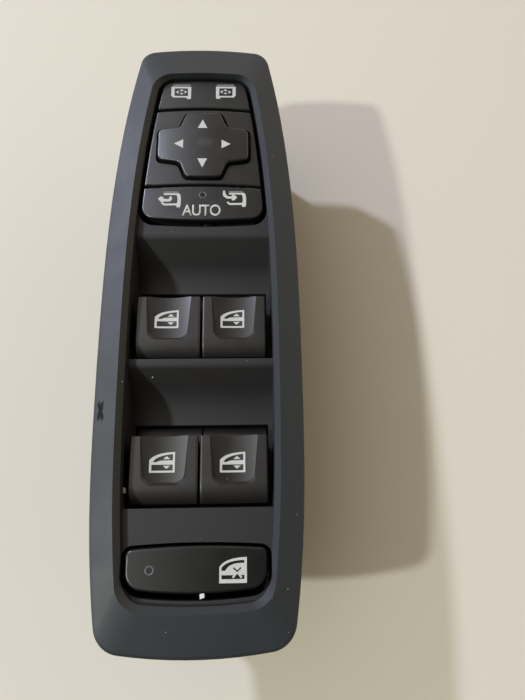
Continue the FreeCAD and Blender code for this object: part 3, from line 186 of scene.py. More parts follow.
# %% [markdown]
# ## Moulded plastics
# Nearly all of the panel is black plastic, yet no two parts look alike: the bezel has a soft-touch
# paint with a very fine grain, the keys are satin, and the hidden housing is plain and coarser. One
# recipe serves them all. A slow cloud shifts the colour a little, a second one shifts the gloss, and
# a fine one raises the grain as bump. What differs from part to part is only the numbers.

# %% The recipe for a moulded plastic
def moulded(name, dark, light, rough, grain_mm, grain_lift, shine=0.5, drift_mm=14.0):
    """A plastic between two colours, with a range of roughness and a raised grain."""
    finish = bpy.data.materials.new(name)
    finish.use_nodes = True
    tree = finish.node_tree
    coat = tree.nodes["Principled BSDF"]
    where = put(tree, "ShaderNodeTexCoord").outputs["Object"]
    drift = put(tree, "ShaderNodeTexNoise", Vector=where, Scale=1 / (drift_mm * mm), Detail=4.0)
    colour = put(
        tree, "ShaderNodeMix", {"data_type": "RGBA", "label": "colour"},
        Factor=drift.outputs["Fac"], _6=(*dark, 1), _7=(*light, 1),
    )
    tree.links.new(colour.outputs[2], coat.inputs["Base Color"])
    wear = put(tree, "ShaderNodeTexNoise", Vector=where, Scale=2.3 / (drift_mm * mm), Detail=6.0)
    gloss = put(
        tree, "ShaderNodeMapRange", {"label": "gloss"},
        Value=wear.outputs["Fac"], From_Min=0.3, From_Max=0.7, To_Min=rough[0], To_Max=rough[1],
    )
    tree.links.new(gloss.outputs["Result"], coat.inputs["Roughness"])
    grain = put(tree, "ShaderNodeTexNoise", Vector=where, Scale=1 / (grain_mm * mm), Detail=3.0)
    lift = put(
        tree, "ShaderNodeBump",
        Height=grain.outputs["Fac"], Strength=grain_lift, Distance=0.05 * mm,
    )
    tree.links.new(lift.outputs["Normal"], coat.inputs["Normal"])
    coat.inputs["Specular IOR Level"].default_value = shine
    return finish


def wear_finish(finish, *names):
    """Give CAD solids this finish."""
    for name in names:
        mesh = solids[name].data
        mesh.materials.clear()
        mesh.materials.append(finish)
    print(finish.name, "on", len(names), "pieces")


# %% [markdown]
# ## The bezel's soft-touch paint
# The paint on the rim is a dark slate that looks a little blue in the lamps' light. Inside the rim
# the same paint sits deeper, so there its colour is painted shade: darker and purplish grey. So the
# colour is mixed by height: slate above the foot of the inner chamfer, painted shade below. On the
# left rim there is a black scuff the size of a grain of rice, shaped like a small cross. Two slanting
# strokes make it, and a cloud breaks their edges so that they look rubbed and not drawn.

# %% Soft-touch paint with its scuff
bezel_paint = moulded(
    "bezel_soft_touch", (0.0170, 0.0215, 0.0255), (0.0210, 0.0265, 0.0310),
    (0.54, 0.60), 0.42, 0.22, shine=0.6, drift_mm=22.0,
)
tree = bezel_paint.node_tree
coat = tree.nodes["Principled BSDF"]
slate = coat.inputs["Base Color"].links[0].from_socket
where = put(tree, "ShaderNodeTexCoord").outputs["Object"]
height = put(tree, "ShaderNodeSeparateXYZ", Vector=where).outputs["Z"]
# Painted shade: below the foot of the inner chamfer the same paint is given a darker, purplish colour.
above = put(
    tree, "ShaderNodeMapRange", {"interpolation_type": "SMOOTHSTEP"},
    Value=height, From_Min=52.2 * mm, From_Max=53.2 * mm,
).outputs["Result"]
slate_over_painted_shade = put(
    tree, "ShaderNodeMix", {"data_type": "RGBA"},
    Factor=above, _6=(0.0150, 0.0140, 0.0155, 1), _7=slate,
).outputs[2]

scuff_place = Vector((-31.0, -34.5, 54.0)) * mm
scuff_reach = Vector((1.5, 4.2, 4.0)) * mm
fray = Vector((1.6, 3.2, 0)) * mm
crumble = put(tree, "ShaderNodeTexNoise", Vector=where, Scale=1 / (1.6 * mm), Detail=3.0)
ragged = put(
    tree, "ShaderNodeVectorMath", {"operation": "MULTIPLY_ADD"},
    _0=crumble.outputs["Color"], _1=fray, _2=where,
).outputs["Vector"]
from_scuff = put(
    tree, "ShaderNodeVectorMath", {"operation": "SUBTRACT"},
    _0=ragged, _1=scuff_place + fray / 2,
).outputs["Vector"]
squeezed = put(
    tree, "ShaderNodeVectorMath", {"operation": "MULTIPLY"},
    _0=from_scuff, _1=[1 / half for half in scuff_reach],
).outputs["Vector"]
distance = put(tree, "ShaderNodeVectorMath", {"operation": "LENGTH"}, _0=squeezed).outputs["Value"]
patch = put(
    tree, "ShaderNodeMapRange", {"interpolation_type": "SMOOTHSTEP"},
    Value=distance, From_Min=0.7, From_Max=1.1, To_Min=0.9, To_Max=0.0,
).outputs["Result"]
quarter = put(tree, "ShaderNodeVectorMath", {"operation": "ABSOLUTE"}, _0=squeezed).outputs["Vector"]
sides = put(tree, "ShaderNodeSeparateXYZ", Vector=quarter).outputs
stroke_slope = 0.8
slant = put(
    tree, "ShaderNodeMath", {"operation": "MULTIPLY_ADD"},
    _0=sides["Y"], _1=-stroke_slope, _2=sides["X"],
)
off_stroke = put(tree, "ShaderNodeMath", {"operation": "ABSOLUTE"}, _0=slant.outputs["Value"])
strokes = put(
    tree, "ShaderNodeMapRange", {"interpolation_type": "SMOOTHSTEP"},
    Value=off_stroke.outputs["Value"], From_Min=0.22, From_Max=0.5, To_Min=1.0, To_Max=0.0,
).outputs["Result"]
scuff = put(tree, "ShaderNodeMath", {"operation": "MULTIPLY"}, _0=patch, _1=strokes).outputs["Value"]
marked = put(
    tree, "ShaderNodeMix", {"data_type": "RGBA"},
    Factor=scuff, _6=slate_over_painted_shade, _7=(0.003, 0.003, 0.003, 1),
).outputs[2]
tree.links.new(marked, coat.inputs["Base Color"])
sheen = coat.inputs["Roughness"].links[0].from_socket
dulled = put(tree, "ShaderNodeMix", Factor=scuff, A=sheen, B=1.0).outputs["Result"]
tree.links.new(dulled, coat.inputs["Roughness"])
wear_finish(bezel_paint, "bezel")

# %% [markdown]
# ## The keys
# The window keys and the lock key are a warmer black than the bezel, with a satin surface that
# catches the lamps on the walls of each finger dish. On the mirror block and the lock key the sheen
# fades steeply from left to right, which a flat face wouldn't show. The solids are flat there, so a
# slight crown is given to the light alone, as a bump whose height falls with the square of the
# distance to either side of the middle. How much it falls is fitted to that sheen, and isn't a
# measured shape.

# %% Satin blacks
key_satin = moulded(
    "window_key_satin", (0.0086, 0.0070, 0.0056), (0.0108, 0.0092, 0.0078),
    (0.38, 0.44), 0.30, 0.12, shine=1.0, drift_mm=9.0,
)
lock_satin = moulded(
    "lock_key_satin", (0.0058, 0.0060, 0.0058), (0.0075, 0.0078, 0.0075),
    (0.32, 0.38), 0.28, 0.10, shine=0.6, drift_mm=11.0,
)
mirror_satin, pad_satin = (
    moulded(
        name, (0.0085, 0.0092, 0.0100), (0.0110, 0.0118, 0.0126),
        (0.36, 0.42), 0.26, 0.10, shine=1.0, drift_mm=12.0,
    )
    for name in ("mirror_block_satin", "mirror_pad_satin")
)


def crown(finish, per_metre):
    """Let the light see a face that falls to either side by this much times the distance squared."""
    tree = finish.node_tree
    where = put(tree, "ShaderNodeTexCoord").outputs["Object"]
    across = put(tree, "ShaderNodeSeparateXYZ", Vector=where).outputs["X"]
    squared = put(tree, "ShaderNodeMath", {"operation": "MULTIPLY"}, _0=across, _1=across)
    fall = put(
        tree, "ShaderNodeMath", {"operation": "MULTIPLY"},
        _0=squared.outputs["Value"], _1=-per_metre,
    )
    domed = put(tree, "ShaderNodeBump", Height=fall.outputs["Value"], Strength=1.0, Distance=1.0)
    grain = tree.nodes["Principled BSDF"].inputs["Normal"].links[0].from_node
    tree.links.new(domed.outputs["Normal"], grain.inputs["Normal"])
    out = 20 * mm
    print(finish.name, "falls mm at 20 mm out:", round(per_metre * out ** 2 / mm, 2))


crown(mirror_satin, 2.2)
crown(pad_satin, 6.5)
crown(lock_satin, 2.0)
window_keys = [f"{row}_{side}_key" for row in ("front", "rear") for side in ("left", "right")]
wear_finish(key_satin, *window_keys)
wear_finish(lock_satin, "lock_key")
wear_finish(mirror_satin, "mirror_select_key", "mirror_fold_key", "mirror_surround")
wear_finish(pad_satin, "mirror_pad")

# %% [markdown]
# ## A dark spot on the pad
# The four-way pad has a faint dark spot in its middle. The spot is an ellipse a few millimetres
# wide, broken by a cloud: the colour drops a little and the sheen goes flat.

# %% Darken the middle of the pad
tree = pad_satin.node_tree
coat = tree.nodes["Principled BSDF"]
where = put(tree, "ShaderNodeTexCoord").outputs["Object"]
spot_place = Vector((0.4, 63.9, 0)) * mm
spot_wide, spot_deep = 4.2 * mm, 2.4 * mm
aside = put(
    tree, "ShaderNodeVectorMath", {"operation": "SUBTRACT"}, _0=where, _1=spot_place
).outputs["Vector"]
flat = put(
    tree, "ShaderNodeVectorMath", {"operation": "MULTIPLY"},
    _0=aside, _1=(1 / spot_wide, 1 / spot_deep, 0),
).outputs["Vector"]
away = put(tree, "ShaderNodeVectorMath", {"operation": "LENGTH"}, _0=flat).outputs["Value"]
spot = put(
    tree, "ShaderNodeMapRange", {"interpolation_type": "SMOOTHSTEP"},
    Value=away, From_Min=0.1, From_Max=1.0, To_Min=0.8, To_Max=0.0,
).outputs["Result"]
patchy = put(tree, "ShaderNodeTexNoise", Vector=where, Scale=1 / (1.8 * mm), Detail=2.0).outputs["Fac"]
# The middle of the pad is made darker and duller in a broken ellipse.
dark_spot_mask = put(tree, "ShaderNodeMath", {"operation": "MULTIPLY"}, _0=spot, _1=patchy).outputs["Value"]
base = coat.inputs["Base Color"].links[0].from_socket
sheen = coat.inputs["Roughness"].links[0].from_socket
darker = put(
    tree, "ShaderNodeMix", {"data_type": "RGBA"}, Factor=dark_spot_mask, _6=base, _7=(0.004, 0.004, 0.004, 1)
).outputs[2]
tree.links.new(darker, coat.inputs["Base Color"])
duller = put(tree, "ShaderNodeMix", Factor=dark_spot_mask, A=sheen, B=0.9).outputs["Result"]
tree.links.new(duller, coat.inputs["Roughness"])

# %% [markdown]
# ## Pieces inside and underneath
# The housing and its cover are plain moulded black with a coarser grain, which is left as it comes
# out of the tool. Sliders are natural white acetal, domes are milky rubber, and the metals are rolled
# steel strip and tinned brass. None of these shows in the picture, so the finishes are the usual ones.

# %% Housing, guides and contact blocks
housing_black = moulded(
    "housing_black", (0.022, 0.022, 0.023), (0.032, 0.032, 0.034), (0.52, 0.64), 0.75, 0.5, drift_mm=18.0
)
connector_black = moulded(
    "connector_black", (0.012, 0.012, 0.013), (0.018, 0.018, 0.019), (0.32, 0.42), 0.4, 0.15, drift_mm=8.0
)
guide_white = moulded(
    "guide_white", (0.70, 0.68, 0.62), (0.78, 0.77, 0.71), (0.34, 0.42), 0.5, 0.08, drift_mm=6.0
)
wear_finish(housing_black, "switch_housing", "base_cover", "mirror_case")
wear_finish(connector_black, "connector_header", "front_contact_block", "rear_contact_block")
sliders = [name.replace("_key", "_slider") for name in window_keys]
wear_finish(guide_white, "pad_gimbal", *sliders)

# %% Rubber, clear mouldings and lamps
rubber = moulded("milky_rubber", (0.62, 0.63, 0.60), (0.72, 0.73, 0.70), (0.55, 0.68), 0.35, 0.2)
coat = rubber.node_tree.nodes["Principled BSDF"]
coat.inputs["Subsurface Weight"].default_value = 0.15
coat.inputs["Subsurface Radius"].default_value = (2 * mm, 2 * mm, 2 * mm)
coat.inputs["Subsurface Scale"].default_value = 1.0
clear = moulded("clear_pipe", (0.75, 0.78, 0.80), (0.82, 0.85, 0.87), (0.06, 0.14), 0.8, 0.05)
coat = clear.node_tree.nodes["Principled BSDF"]
coat.inputs["Transmission Weight"].default_value = 0.85
coat.inputs["IOR"].default_value = 1.49
smoked = moulded("smoked_window", (0.020, 0.020, 0.021), (0.030, 0.030, 0.031), (0.16, 0.24), 0.6, 0.05)
lamp_white = moulded("lamp_package", (0.66, 0.64, 0.52), (0.80, 0.78, 0.66), (0.25, 0.35), 0.3, 0.05)
wear_finish(rubber, "mirror_mat")
wear_finish(clear, "lock_light_pipe")
wear_finish(smoked, "lock_lens", "fold_lens")
wear_finish(lamp_white, "indicator_lamps")

# %% [markdown]
# ## The dome under the lock key
# The lock key rests on a rubber dome that gives way when it is pushed in. A copy of the solid dome,
# with its loose triangles merged, is shown in milky rubber and moves with the panel.

# %% Show the dome in rubber
def shown(name, mesh, body):
    """Show a mesh as a piece that moves with a body."""
    piece = bpy.data.objects.new(name, mesh)
    bpy.context.scene.collection.objects.link(piece)
    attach(piece, body)
    print(name, "faces:", len(mesh.polygons))
    return piece


same_point = 0.001 * mm
work = bmesh.new()
work.from_mesh(solids["lock_dome"].data)
bmesh.ops.remove_doubles(work, verts=work.verts, dist=same_point)
dome_mesh = bpy.data.meshes.new("lock_dome_rubber")
work.to_mesh(dome_mesh)
work.free()
dome_mesh.materials.clear()
dome_mesh.materials.append(rubber)
dome = shown("lock_dome_rubber", dome_mesh, "panel")
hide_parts("lock_dome")
low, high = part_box("lock_dome")
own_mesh(dome)
print("dome height mm:", round((high[2] - low[2]) / mm, 2))

# %% [markdown]
# ## Boards
# A board's green mask lies over copper, which shows as a slightly lighter green in areas with thin
# gaps between them. A cell texture gives the distance to the nearest gap, and a short ramp on that
# distance turns it into areas with crisp edges.

# %% Green boards
board_green = moulded(
    "board_green", (0.010, 0.075, 0.030), (0.016, 0.105, 0.045), (0.24, 0.34), 0.5, 0.1
)
tree = board_green.node_tree
coat = tree.nodes["Principled BSDF"]
mask = coat.inputs["Base Color"].links[0].from_socket
where = put(tree, "ShaderNodeTexCoord").outputs["Object"]
cells = put(
    tree, "ShaderNodeTexVoronoi", {"feature": "DISTANCE_TO_EDGE"}, Vector=where, Scale=1 / (3.5 * mm)
).outputs["Distance"]
copper = put(tree, "ShaderNodeMapRange", Value=cells, From_Min=0.06, From_Max=0.10).outputs["Result"]
under_mask = put(
    tree, "ShaderNodeMix", {"data_type": "RGBA"}, Factor=copper, _6=mask, _7=(0.022, 0.15, 0.060, 1)
).outputs[2]
tree.links.new(under_mask, coat.inputs["Base Color"])
wear_finish(board_green, "circuit_board", "mirror_board")

# %% [markdown]
# ## Metals
# Strip steel is brushed along its length, so its roughness is stretched one way. Pins are tinned, and
# their tin is duller and yellower in patches. A metal has no colour of its own under the reflection,
# so Metallic is full and only the reflection is tinted.

# %% Steel and tinned brass
def metal(name, dark, light, rough, stretch):
    """A metal whose brushing runs along the axes that are stretched."""
    finish = bpy.data.materials.new(name)
    finish.use_nodes = True
    tree = finish.node_tree
    coat = tree.nodes["Principled BSDF"]
    coat.inputs["Metallic"].default_value = 1.0
    where = put(tree, "ShaderNodeTexCoord").outputs["Object"]
    along = put(tree, "ShaderNodeMapping", Vector=where, Scale=stretch).outputs["Vector"]
    lines = put(tree, "ShaderNodeTexNoise", Vector=along, Scale=900.0, Detail=5.0).outputs["Fac"]
    patch = put(tree, "ShaderNodeTexNoise", Vector=where, Scale=350.0, Detail=3.0).outputs["Fac"]
    colour = put(
        tree, "ShaderNodeMix", {"data_type": "RGBA"}, Factor=patch, _6=(*dark, 1), _7=(*light, 1)
    )
    tree.links.new(colour.outputs[2], coat.inputs["Base Color"])
    gloss = put(tree, "ShaderNodeMapRange", Value=lines, To_Min=rough[0], To_Max=rough[1])
    tree.links.new(gloss.outputs["Result"], coat.inputs["Roughness"])
    lift = put(tree, "ShaderNodeBump", Height=lines, Strength=0.15, Distance=0.02 * mm)
    tree.links.new(lift.outputs["Normal"], coat.inputs["Normal"])
    return finish


spring_strip = metal("spring_strip", (0.20, 0.21, 0.23), (0.30, 0.31, 0.33), (0.25, 0.5), (1, 0.15, 1))
tinned_brass = metal("tinned_brass", (0.58, 0.52, 0.36), (0.74, 0.70, 0.58), (0.2, 0.4), (1, 1, 0.2))
zinc_plate = metal("zinc_plate", (0.50, 0.50, 0.50), (0.62, 0.62, 0.60), (0.28, 0.48), (1, 1, 1))
springs = [name.replace("_key", "_springs") for name in window_keys]
wear_finish(spring_strip, "retaining_clips", *springs)
wear_finish(tinned_brass, "connector_pins", "link_pins")
wear_finish(zinc_plate, "housing_screws")

# %% [markdown]
# ## Printed symbols: the drawing
# Symbols like these are usually cut by laser through black paint over white. Each is drawn flat first, in
# millimetres, as closed loops: a loop inside another one is a hole, and a loop inside that hole is
# white again. A 2D curve fills loops by that rule by itself, so no triangles have to be listed.
# The faces are then sliced at even steps, so that they can bend with the dish of a key.

# %% Draw loops as a flat mesh
def plain_mesh(thing):
    """The mesh that a curve, a word or a piece with a tree comes to."""
    return bpy.data.meshes.new_from_object(thing.evaluated_get(bpy.context.evaluated_depsgraph_get()))


def flat_print(name, loops, slice_mm=0.5):
    """A flat mesh of closed loops of (x, y) points in millimetres, sliced so that it can bend."""
    curve = bpy.data.curves.new(name, "CURVE")
    curve.dimensions, curve.fill_mode = "2D", "BOTH"
    for loop in loops:
        line = curve.splines.new("POLY")
        line.points.add(len(loop) - 1)
        for point, (x, y) in zip(line.points, loop):
            point.co = (x * mm, y * mm, 0, 1)
        line.use_cyclic_u = True
    drawing = bpy.data.objects.new(name + "_drawing", curve)
    bpy.context.scene.collection.objects.link(drawing)
    mesh = plain_mesh(drawing)
    bpy.data.objects.remove(drawing)
    return sliced(mesh, slice_mm)


def sliced(mesh, slice_mm):
    """Cut a flat mesh along X and Y at even steps, with its faces turned up."""
    work = bmesh.new()
    work.from_mesh(mesh)
    bmesh.ops.remove_doubles(work, verts=work.verts, dist=0.004 * mm)
    for axis in (0, 1):
        low = min(v.co[axis] for v in work.verts)
        high = max(v.co[axis] for v in work.verts)
        steps = int((high - low) / (slice_mm * mm))
        normal = Vector((1, 0, 0)) if axis == 0 else Vector((0, 1, 0))
        for n in range(1, steps + 1):
            everything = work.verts[:] + work.edges[:] + work.faces[:]
            point = normal * (low + n * slice_mm * mm)
            bmesh.ops.bisect_plane(work, geom=everything, plane_co=point, plane_no=normal)
    for face in work.faces:
        face.normal_update()
        if face.normal.z < 0:
            face.normal_flip()
    work.to_mesh(mesh)
    work.free()
    return mesh


# %% [markdown]
# ## Printed symbols: laying them on the key
# A Geometry Nodes tree drops each point of the drawing straight down onto the key, sinks it by a hair,
# and pushes the faces up again into a very thin solid. The same tree serves every symbol; only the
# drawing, the key and the ink change. Thickness is 0.08 mm, of which 0.03 mm stands proud.

# %% A tree that lays a flat drawing on a surface
def make_print_tree():
    tree = bpy.data.node_groups.new("print_on_surface", "GeometryNodeTree")
    face = tree.interface
    face.new_socket("Drawing", in_out="INPUT", socket_type="NodeSocketGeometry")
    face.new_socket("Surface", in_out="INPUT", socket_type="NodeSocketObject")
    face.new_socket("Proud", in_out="INPUT", socket_type="NodeSocketFloat")
    face.new_socket("Sunk", in_out="INPUT", socket_type="NodeSocketFloat")
    face.new_socket("Ink", in_out="INPUT", socket_type="NodeSocketMaterial")
    face.new_socket("Print", in_out="OUTPUT", socket_type="NodeSocketGeometry")
    given = put(tree, "NodeGroupInput").outputs
    target = put(
        tree, "GeometryNodeObjectInfo", {"transform_space": "RELATIVE"}, Object=given["Surface"]
    ).outputs["Geometry"]
    point = put(tree, "GeometryNodeInputPosition").outputs["Position"]
    over = put(
        tree, "ShaderNodeVectorMath", {"operation": "ADD"}, _0=point, _1=(0, 0, 80 * mm)
    ).outputs["Vector"]
    drop = put(
        tree, "GeometryNodeRaycast",
        Target_Geometry=target, Source_Position=over, Ray_Direction=(0, 0, -1), Ray_Length=100 * mm,
    )
    down = put(
        tree, "ShaderNodeMath", {"operation": "MULTIPLY"}, _0=given["Sunk"], _1=-1.0
    ).outputs["Value"]
    sink = put(tree, "ShaderNodeCombineXYZ", X=0.0, Y=0.0, Z=down).outputs["Vector"]
    foot = put(
        tree, "GeometryNodeSetPosition",
        Geometry=given["Drawing"], Position=drop.outputs["Hit Position"], Offset=sink,
    ).outputs["Geometry"]
    thickness = put(
        tree, "ShaderNodeMath", {"operation": "ADD"}, _0=given["Proud"], _1=given["Sunk"]
    ).outputs["Value"]
    raised = put(
        tree, "GeometryNodeExtrudeMesh", {"mode": "FACES"},
        Mesh=foot, Offset=(0, 0, 1), Offset_Scale=thickness, Individual=False,
    ).outputs["Mesh"]
    underside = put(tree, "GeometryNodeFlipFaces", Mesh=foot).outputs["Mesh"]
    both = put(tree, "GeometryNodeJoinGeometry")
    tree.links.new(raised, both.inputs[0])
    tree.links.new(underside, both.inputs[0])
    closed = put(
        tree, "GeometryNodeMergeByDistance", Geometry=both.outputs["Geometry"], Distance=same_point
    ).outputs["Geometry"]
    real = put(tree, "GeometryNodeRealizeInstances", Geometry=closed).outputs["Geometry"]
    inked = put(
        tree, "GeometryNodeSetMaterial", Geometry=real, Material=given["Ink"]
    ).outputs["Geometry"]
    tree.links.new(inked, put(tree, "NodeGroupOutput").inputs["Print"])
    return tree


print_tree = make_print_tree()


def made_by_tree(name, mesh, tree, settings, body):
    """Run a tree on a mesh and keep its result as a plain piece that moves with a body."""
    source = bpy.data.objects.new(name + "_source", mesh)
    bpy.context.scene.collection.objects.link(source)
    step = source.modifiers.new("tree", "NODES")
    step.node_group = tree
    sockets = {s.name: s.identifier for s in tree.interface.items_tree if s.in_out == "INPUT"}
    for label, value in settings.items():
        step[sockets[label]] = value
    bpy.context.view_layer.update()
    plain = plain_mesh(source)
    bpy.data.objects.remove(source)
    plain.name = name
    return shown(name, plain, body)


# %% [markdown]
# ## Ink
# The white is an off-white with a matt surface, and a fine cloud keeps it from being quite even. The
# mirror symbols also have a grey half-tone band above their outline.

# %% White and half-tone ink
white_ink = moulded(
    "symbol_white", (0.53, 0.54, 0.52), (0.62, 0.63, 0.61), (0.45, 0.6), 0.35, 0.08, drift_mm=2.0
)
grey_ink = moulded(
    "symbol_grey", (0.14, 0.15, 0.15), (0.20, 0.21, 0.21), (0.45, 0.6), 0.35, 0.08, drift_mm=2.0
)


def laid(name, drawing, key, body, ink=white_ink):
    """Lay a flat drawing on a key, in one of the inks."""
    settings = {"Surface": solids[key], "Proud": 0.03 * mm, "Sunk": 0.05 * mm, "Ink": ink}
    return made_by_tree(name, drawing, print_tree, settings, body)


def printed(name, loops, key, body, ink=white_ink, slice_mm=0.5):
    """Draw loops and lay them on a key."""
    return laid(name, flat_print(name, loops, slice_mm), key, body, ink)


# %% [markdown]
# ## The window symbol
# Each window key has the same symbol: a door window with its curved front edge, a bar for the door's
# waist, an arrow up in the glass and an arrow down under the bar. The front edge is one smooth bend
# between the window's front post and its roof, which three points describe. The hole of the glass
# follows the same bend, one stroke further in.

# %% Draw the window symbol
def bend(start, pull, end, count=10):
    """Points of a smooth bend between two points, pulled towards a third."""
    points = []
    for n in range(count + 1):
        t = n / count
        a, b, c = (1 - t) ** 2, 2 * t * (1 - t), t * t
        points.append(tuple(a * p + b * q + c * r for p, q, r in zip(start, pull, end)))
    return points


def moved(loops, x, y):
    """The same loops at another place."""
    return [[(a + x, b + y) for a, b in loop] for loop in loops]


window_width, window_height = 8.1, 6.4
stroke = 0.62
glass_side = window_width - stroke
roof = bend((0, 3.9), (1.6, 6.25), (window_width, window_height))
under_roof = bend((1.1, 3.3), (2.2, 5.35), (glass_side, window_height - stroke))
window_symbol = [
    [(0, 0.12), (0.12, 0), (window_width - 0.12, 0), (window_width, 0.12)] + roof[::-1],
    [(stroke + 0.1, stroke), (glass_side, stroke), (glass_side, 2.46), (stroke + 0.1, 2.46)],
    under_roof + [(glass_side, 3.80), (3.4, 3.74), (2.1, 3.26)],
    [(4.30, 4.16), (6.60, 4.16), (5.45, 5.14)],
    [(4.30, 2.12), (5.45, 1.14), (6.60, 2.12)],
]
window_places = {
    "front_left_key": (-15.9, -5.8), "front_right_key": (6.5, -5.8),
    "rear_left_key": (-15.8, -53.7), "rear_right_key": (6.6, -53.9),
}
for key, (x, y) in window_places.items():
    side = key.removesuffix("_key")
    printed(side + "_symbol", moved(window_symbol, x, y), key, side)

# %% [markdown]
# ## The lock symbol
# The lock key stops the rear windows, so its symbol is the same window with the glass filled in and
# crossed out. The cross is dark where it lies on the white glass and white where it lies on the dark
# band below. One ragged loop for that band makes both legs of the cross at once.

# %% Draw the lock symbol
lock_width, lock_height = 8.2, 7.2
lock_symbol = [
    [(0, 0), (lock_width, 0)] + bend((0, 4.4), (1.5, 7.05), (lock_width, lock_height))[::-1],
    bend((0.66, 4.25), (2.2, 6.35), (7.45, 6.35)) + [(7.45, 5.55)]
    + bend((6.2, 5.55), (2.9, 5.45), (1.85, 3.55)) + [(1.7, 3.42), (0.66, 3.42)],
    [(0.66, 1.1), (7.45, 1.1), (7.45, 2.2), (6.38, 2.2), (6.86, 1.62), (6.42, 1.30), (5.31, 2.60),
     (4.20, 1.30), (3.76, 1.62), (4.24, 2.2), (0.66, 2.2)],
    [(5.31, 2.98), (6.60, 4.10), (6.30, 4.40), (5.31, 3.50), (4.32, 4.40), (4.02, 4.10)],
]
printed("lock_symbol", moved(lock_symbol, 6.8, -85.9), "lock_key", "lock")

# %% [markdown]
# ## The mirror symbols
# The two symbols in front choose the left or the right mirror: a mirror with its foot on the door side
# and four small arrows. The two behind fold the mirrors, with a curled arrow. Each right-hand one is
# drawn on its own where it differs, and mirrored where it doesn't. A mirrored loop runs the other way
# round, which does no harm here, because the fill rule only counts how deep a loop lies.

# %% Draw the mirror choice symbols
def mirrored(loops, middle):
    """The same loops reflected about an upright line."""
    return [[(2 * middle - x, y) for x, y in loop] for loop in loops]


choice_left = [
    [(-12.5, 89.2), (-12.5, 85.2), (-11.7, 84.4), (-6.7, 84.4), (-6.6, 83.8), (-5.4, 83.7), (-5.05, 84.1),
     (-5.0, 89.2)],
    [(-11.3, 88.5), (-6.3, 88.5), (-6.2, 85.05), (-11.0, 85.05), (-11.3, 85.3)],
    [(-10.8, 86.8), (-9.8, 87.5), (-9.8, 86.1)],
    [(-6.6, 86.9), (-7.5, 86.2), (-7.5, 87.6)],
    [(-8.6, 88.15), (-7.75, 87.3), (-9.45, 87.3)],
    [(-8.6, 85.7), (-9.35, 86.45), (-7.85, 86.45)],
]
flat_slice = 2.0
middle, shift = -8.75, (16.85, 0.2)
choice_right = moved(mirrored(choice_left, middle), *shift)
choices = choice_left + choice_right
printed("mirror_choice_symbols", choices, "mirror_select_key", "mirror_select", slice_mm=flat_slice)
band = [[(-12.1, 89.28), (-11.7, 90.3), (-5.5, 90.3), (-5.15, 89.28)]]
bands = band + moved(mirrored(band, middle), *shift)
printed("mirror_choice_bands", bands, "mirror_select_key", "mirror_select", grey_ink, flat_slice)

# %% Draw the folding symbols
def housing_outline(x, y):
    """A mirror housing, open on its left, with the corner of its foot at (x, y)."""
    return [
        (x - 6.1, y + 5.6), (x - 0.75, y + 5.6), (x - 0.2, y + 5.2), (x + 0.05, y + 3.6), (x, y + 0.8),
        (x - 0.3, y), (x - 1.35, y), (x - 1.55, y + 0.8), (x - 5.6, y + 0.75), (x - 6.1, y + 0.9),
        (x - 6.95, y + 1.75), (x - 6.6, y + 2.15), (x - 5.6, y + 1.5), (x - 1.45, y + 1.6),
        (x - 1.15, y + 2.3), (x - 1.15, y + 3.6), (x - 1.5, y + 4.95), (x - 6.1, y + 4.95),
    ]


fold_arrow = [
    (-15.9, 41.4), (-14.9, 42.4), (-14.0, 42.0), (-13.9, 41.45), (-12.4, 41.25), (-11.9, 41.5),
    (-11.75, 42.4), (-11.0, 42.35), (-10.9, 41.1), (-11.6, 40.35), (-13.6, 40.3), (-14.7, 40.05),
]
unfold_arrow = [
    (7.9, 44.8), (7.25, 44.7), (7.2, 43.1), (7.6, 42.3), (8.6, 41.6), (10.4, 41.5), (10.5, 40.85),
    (11.2, 40.85), (12.4, 42.05), (11.2, 43.1), (10.5, 43.1), (10.4, 42.45), (9.2, 42.45),
    (8.5, 42.9), (8.1, 43.7),
]
fold_loops = [housing_outline(-7.8, 38.0), fold_arrow, housing_outline(15.5, 38.25), unfold_arrow]
printed("fold_symbols", fold_loops, "mirror_fold_key", "mirror_fold", slice_mm=flat_slice)
fold_bands = [
    [(-13.9, 43.63), (-13.9, 44.4), (-8.9, 44.4), (-8.5, 43.63)],
    [(9.4, 43.9), (9.4, 44.6), (14.2, 44.6), (14.7, 43.9)],
]
printed("fold_bands", fold_bands, "mirror_fold_key", "mirror_fold", grey_ink, flat_slice)

# %% [markdown]
# ## Lettering and arrows
# Blender has a plain built-in typeface, which suits the short word on the folding key. A text object
# is turned into a mesh before it is placed. The four arrows of the pad are plain triangles.

# %% Lettering
def lettering(name, word, left, right, low, high, key, body):
    """A word stretched to fill a rectangle in millimetres, printed on a key."""
    text = bpy.data.curves.new(name, "FONT")
    text.body = word
    text.space_character = 0.94
    text.offset = 0.012
    draft = bpy.data.objects.new(name + "_draft", text)
    bpy.context.scene.collection.objects.link(draft)
    mesh = plain_mesh(draft)
    bpy.data.objects.remove(draft)
    xs, ys = [v.co.x for v in mesh.vertices], [v.co.y for v in mesh.vertices]
    for v in mesh.vertices:
        v.co.x = (left + (v.co.x - min(xs)) / (max(xs) - min(xs)) * (right - left)) * mm
        v.co.y = (low + (v.co.y - min(ys)) / (max(ys) - min(ys)) * (high - low)) * mm
    return laid(name, sliced(mesh, flat_slice), key, body)


lettering("auto_lettering", "AUTO", -7.2, 6.5, 34.75, 39.15, "mirror_fold_key", "mirror_fold")

# %% Arrows of the pad
pad_arrows = [
    [(-2.05, 69.8), (1.45, 69.8), (-0.3, 73.4)],
    [(-2.0, 56.9), (-0.25, 53.2), (1.5, 56.9)],
    [(-7.3, 64.9), (-10.6, 63.1), (-7.3, 61.3)],
    [(6.7, 64.8), (6.7, 61.2), (10.0, 63.0)],
]
printed("pad_arrows", pad_arrows, "mirror_pad", "pad", slice_mm=flat_slice)

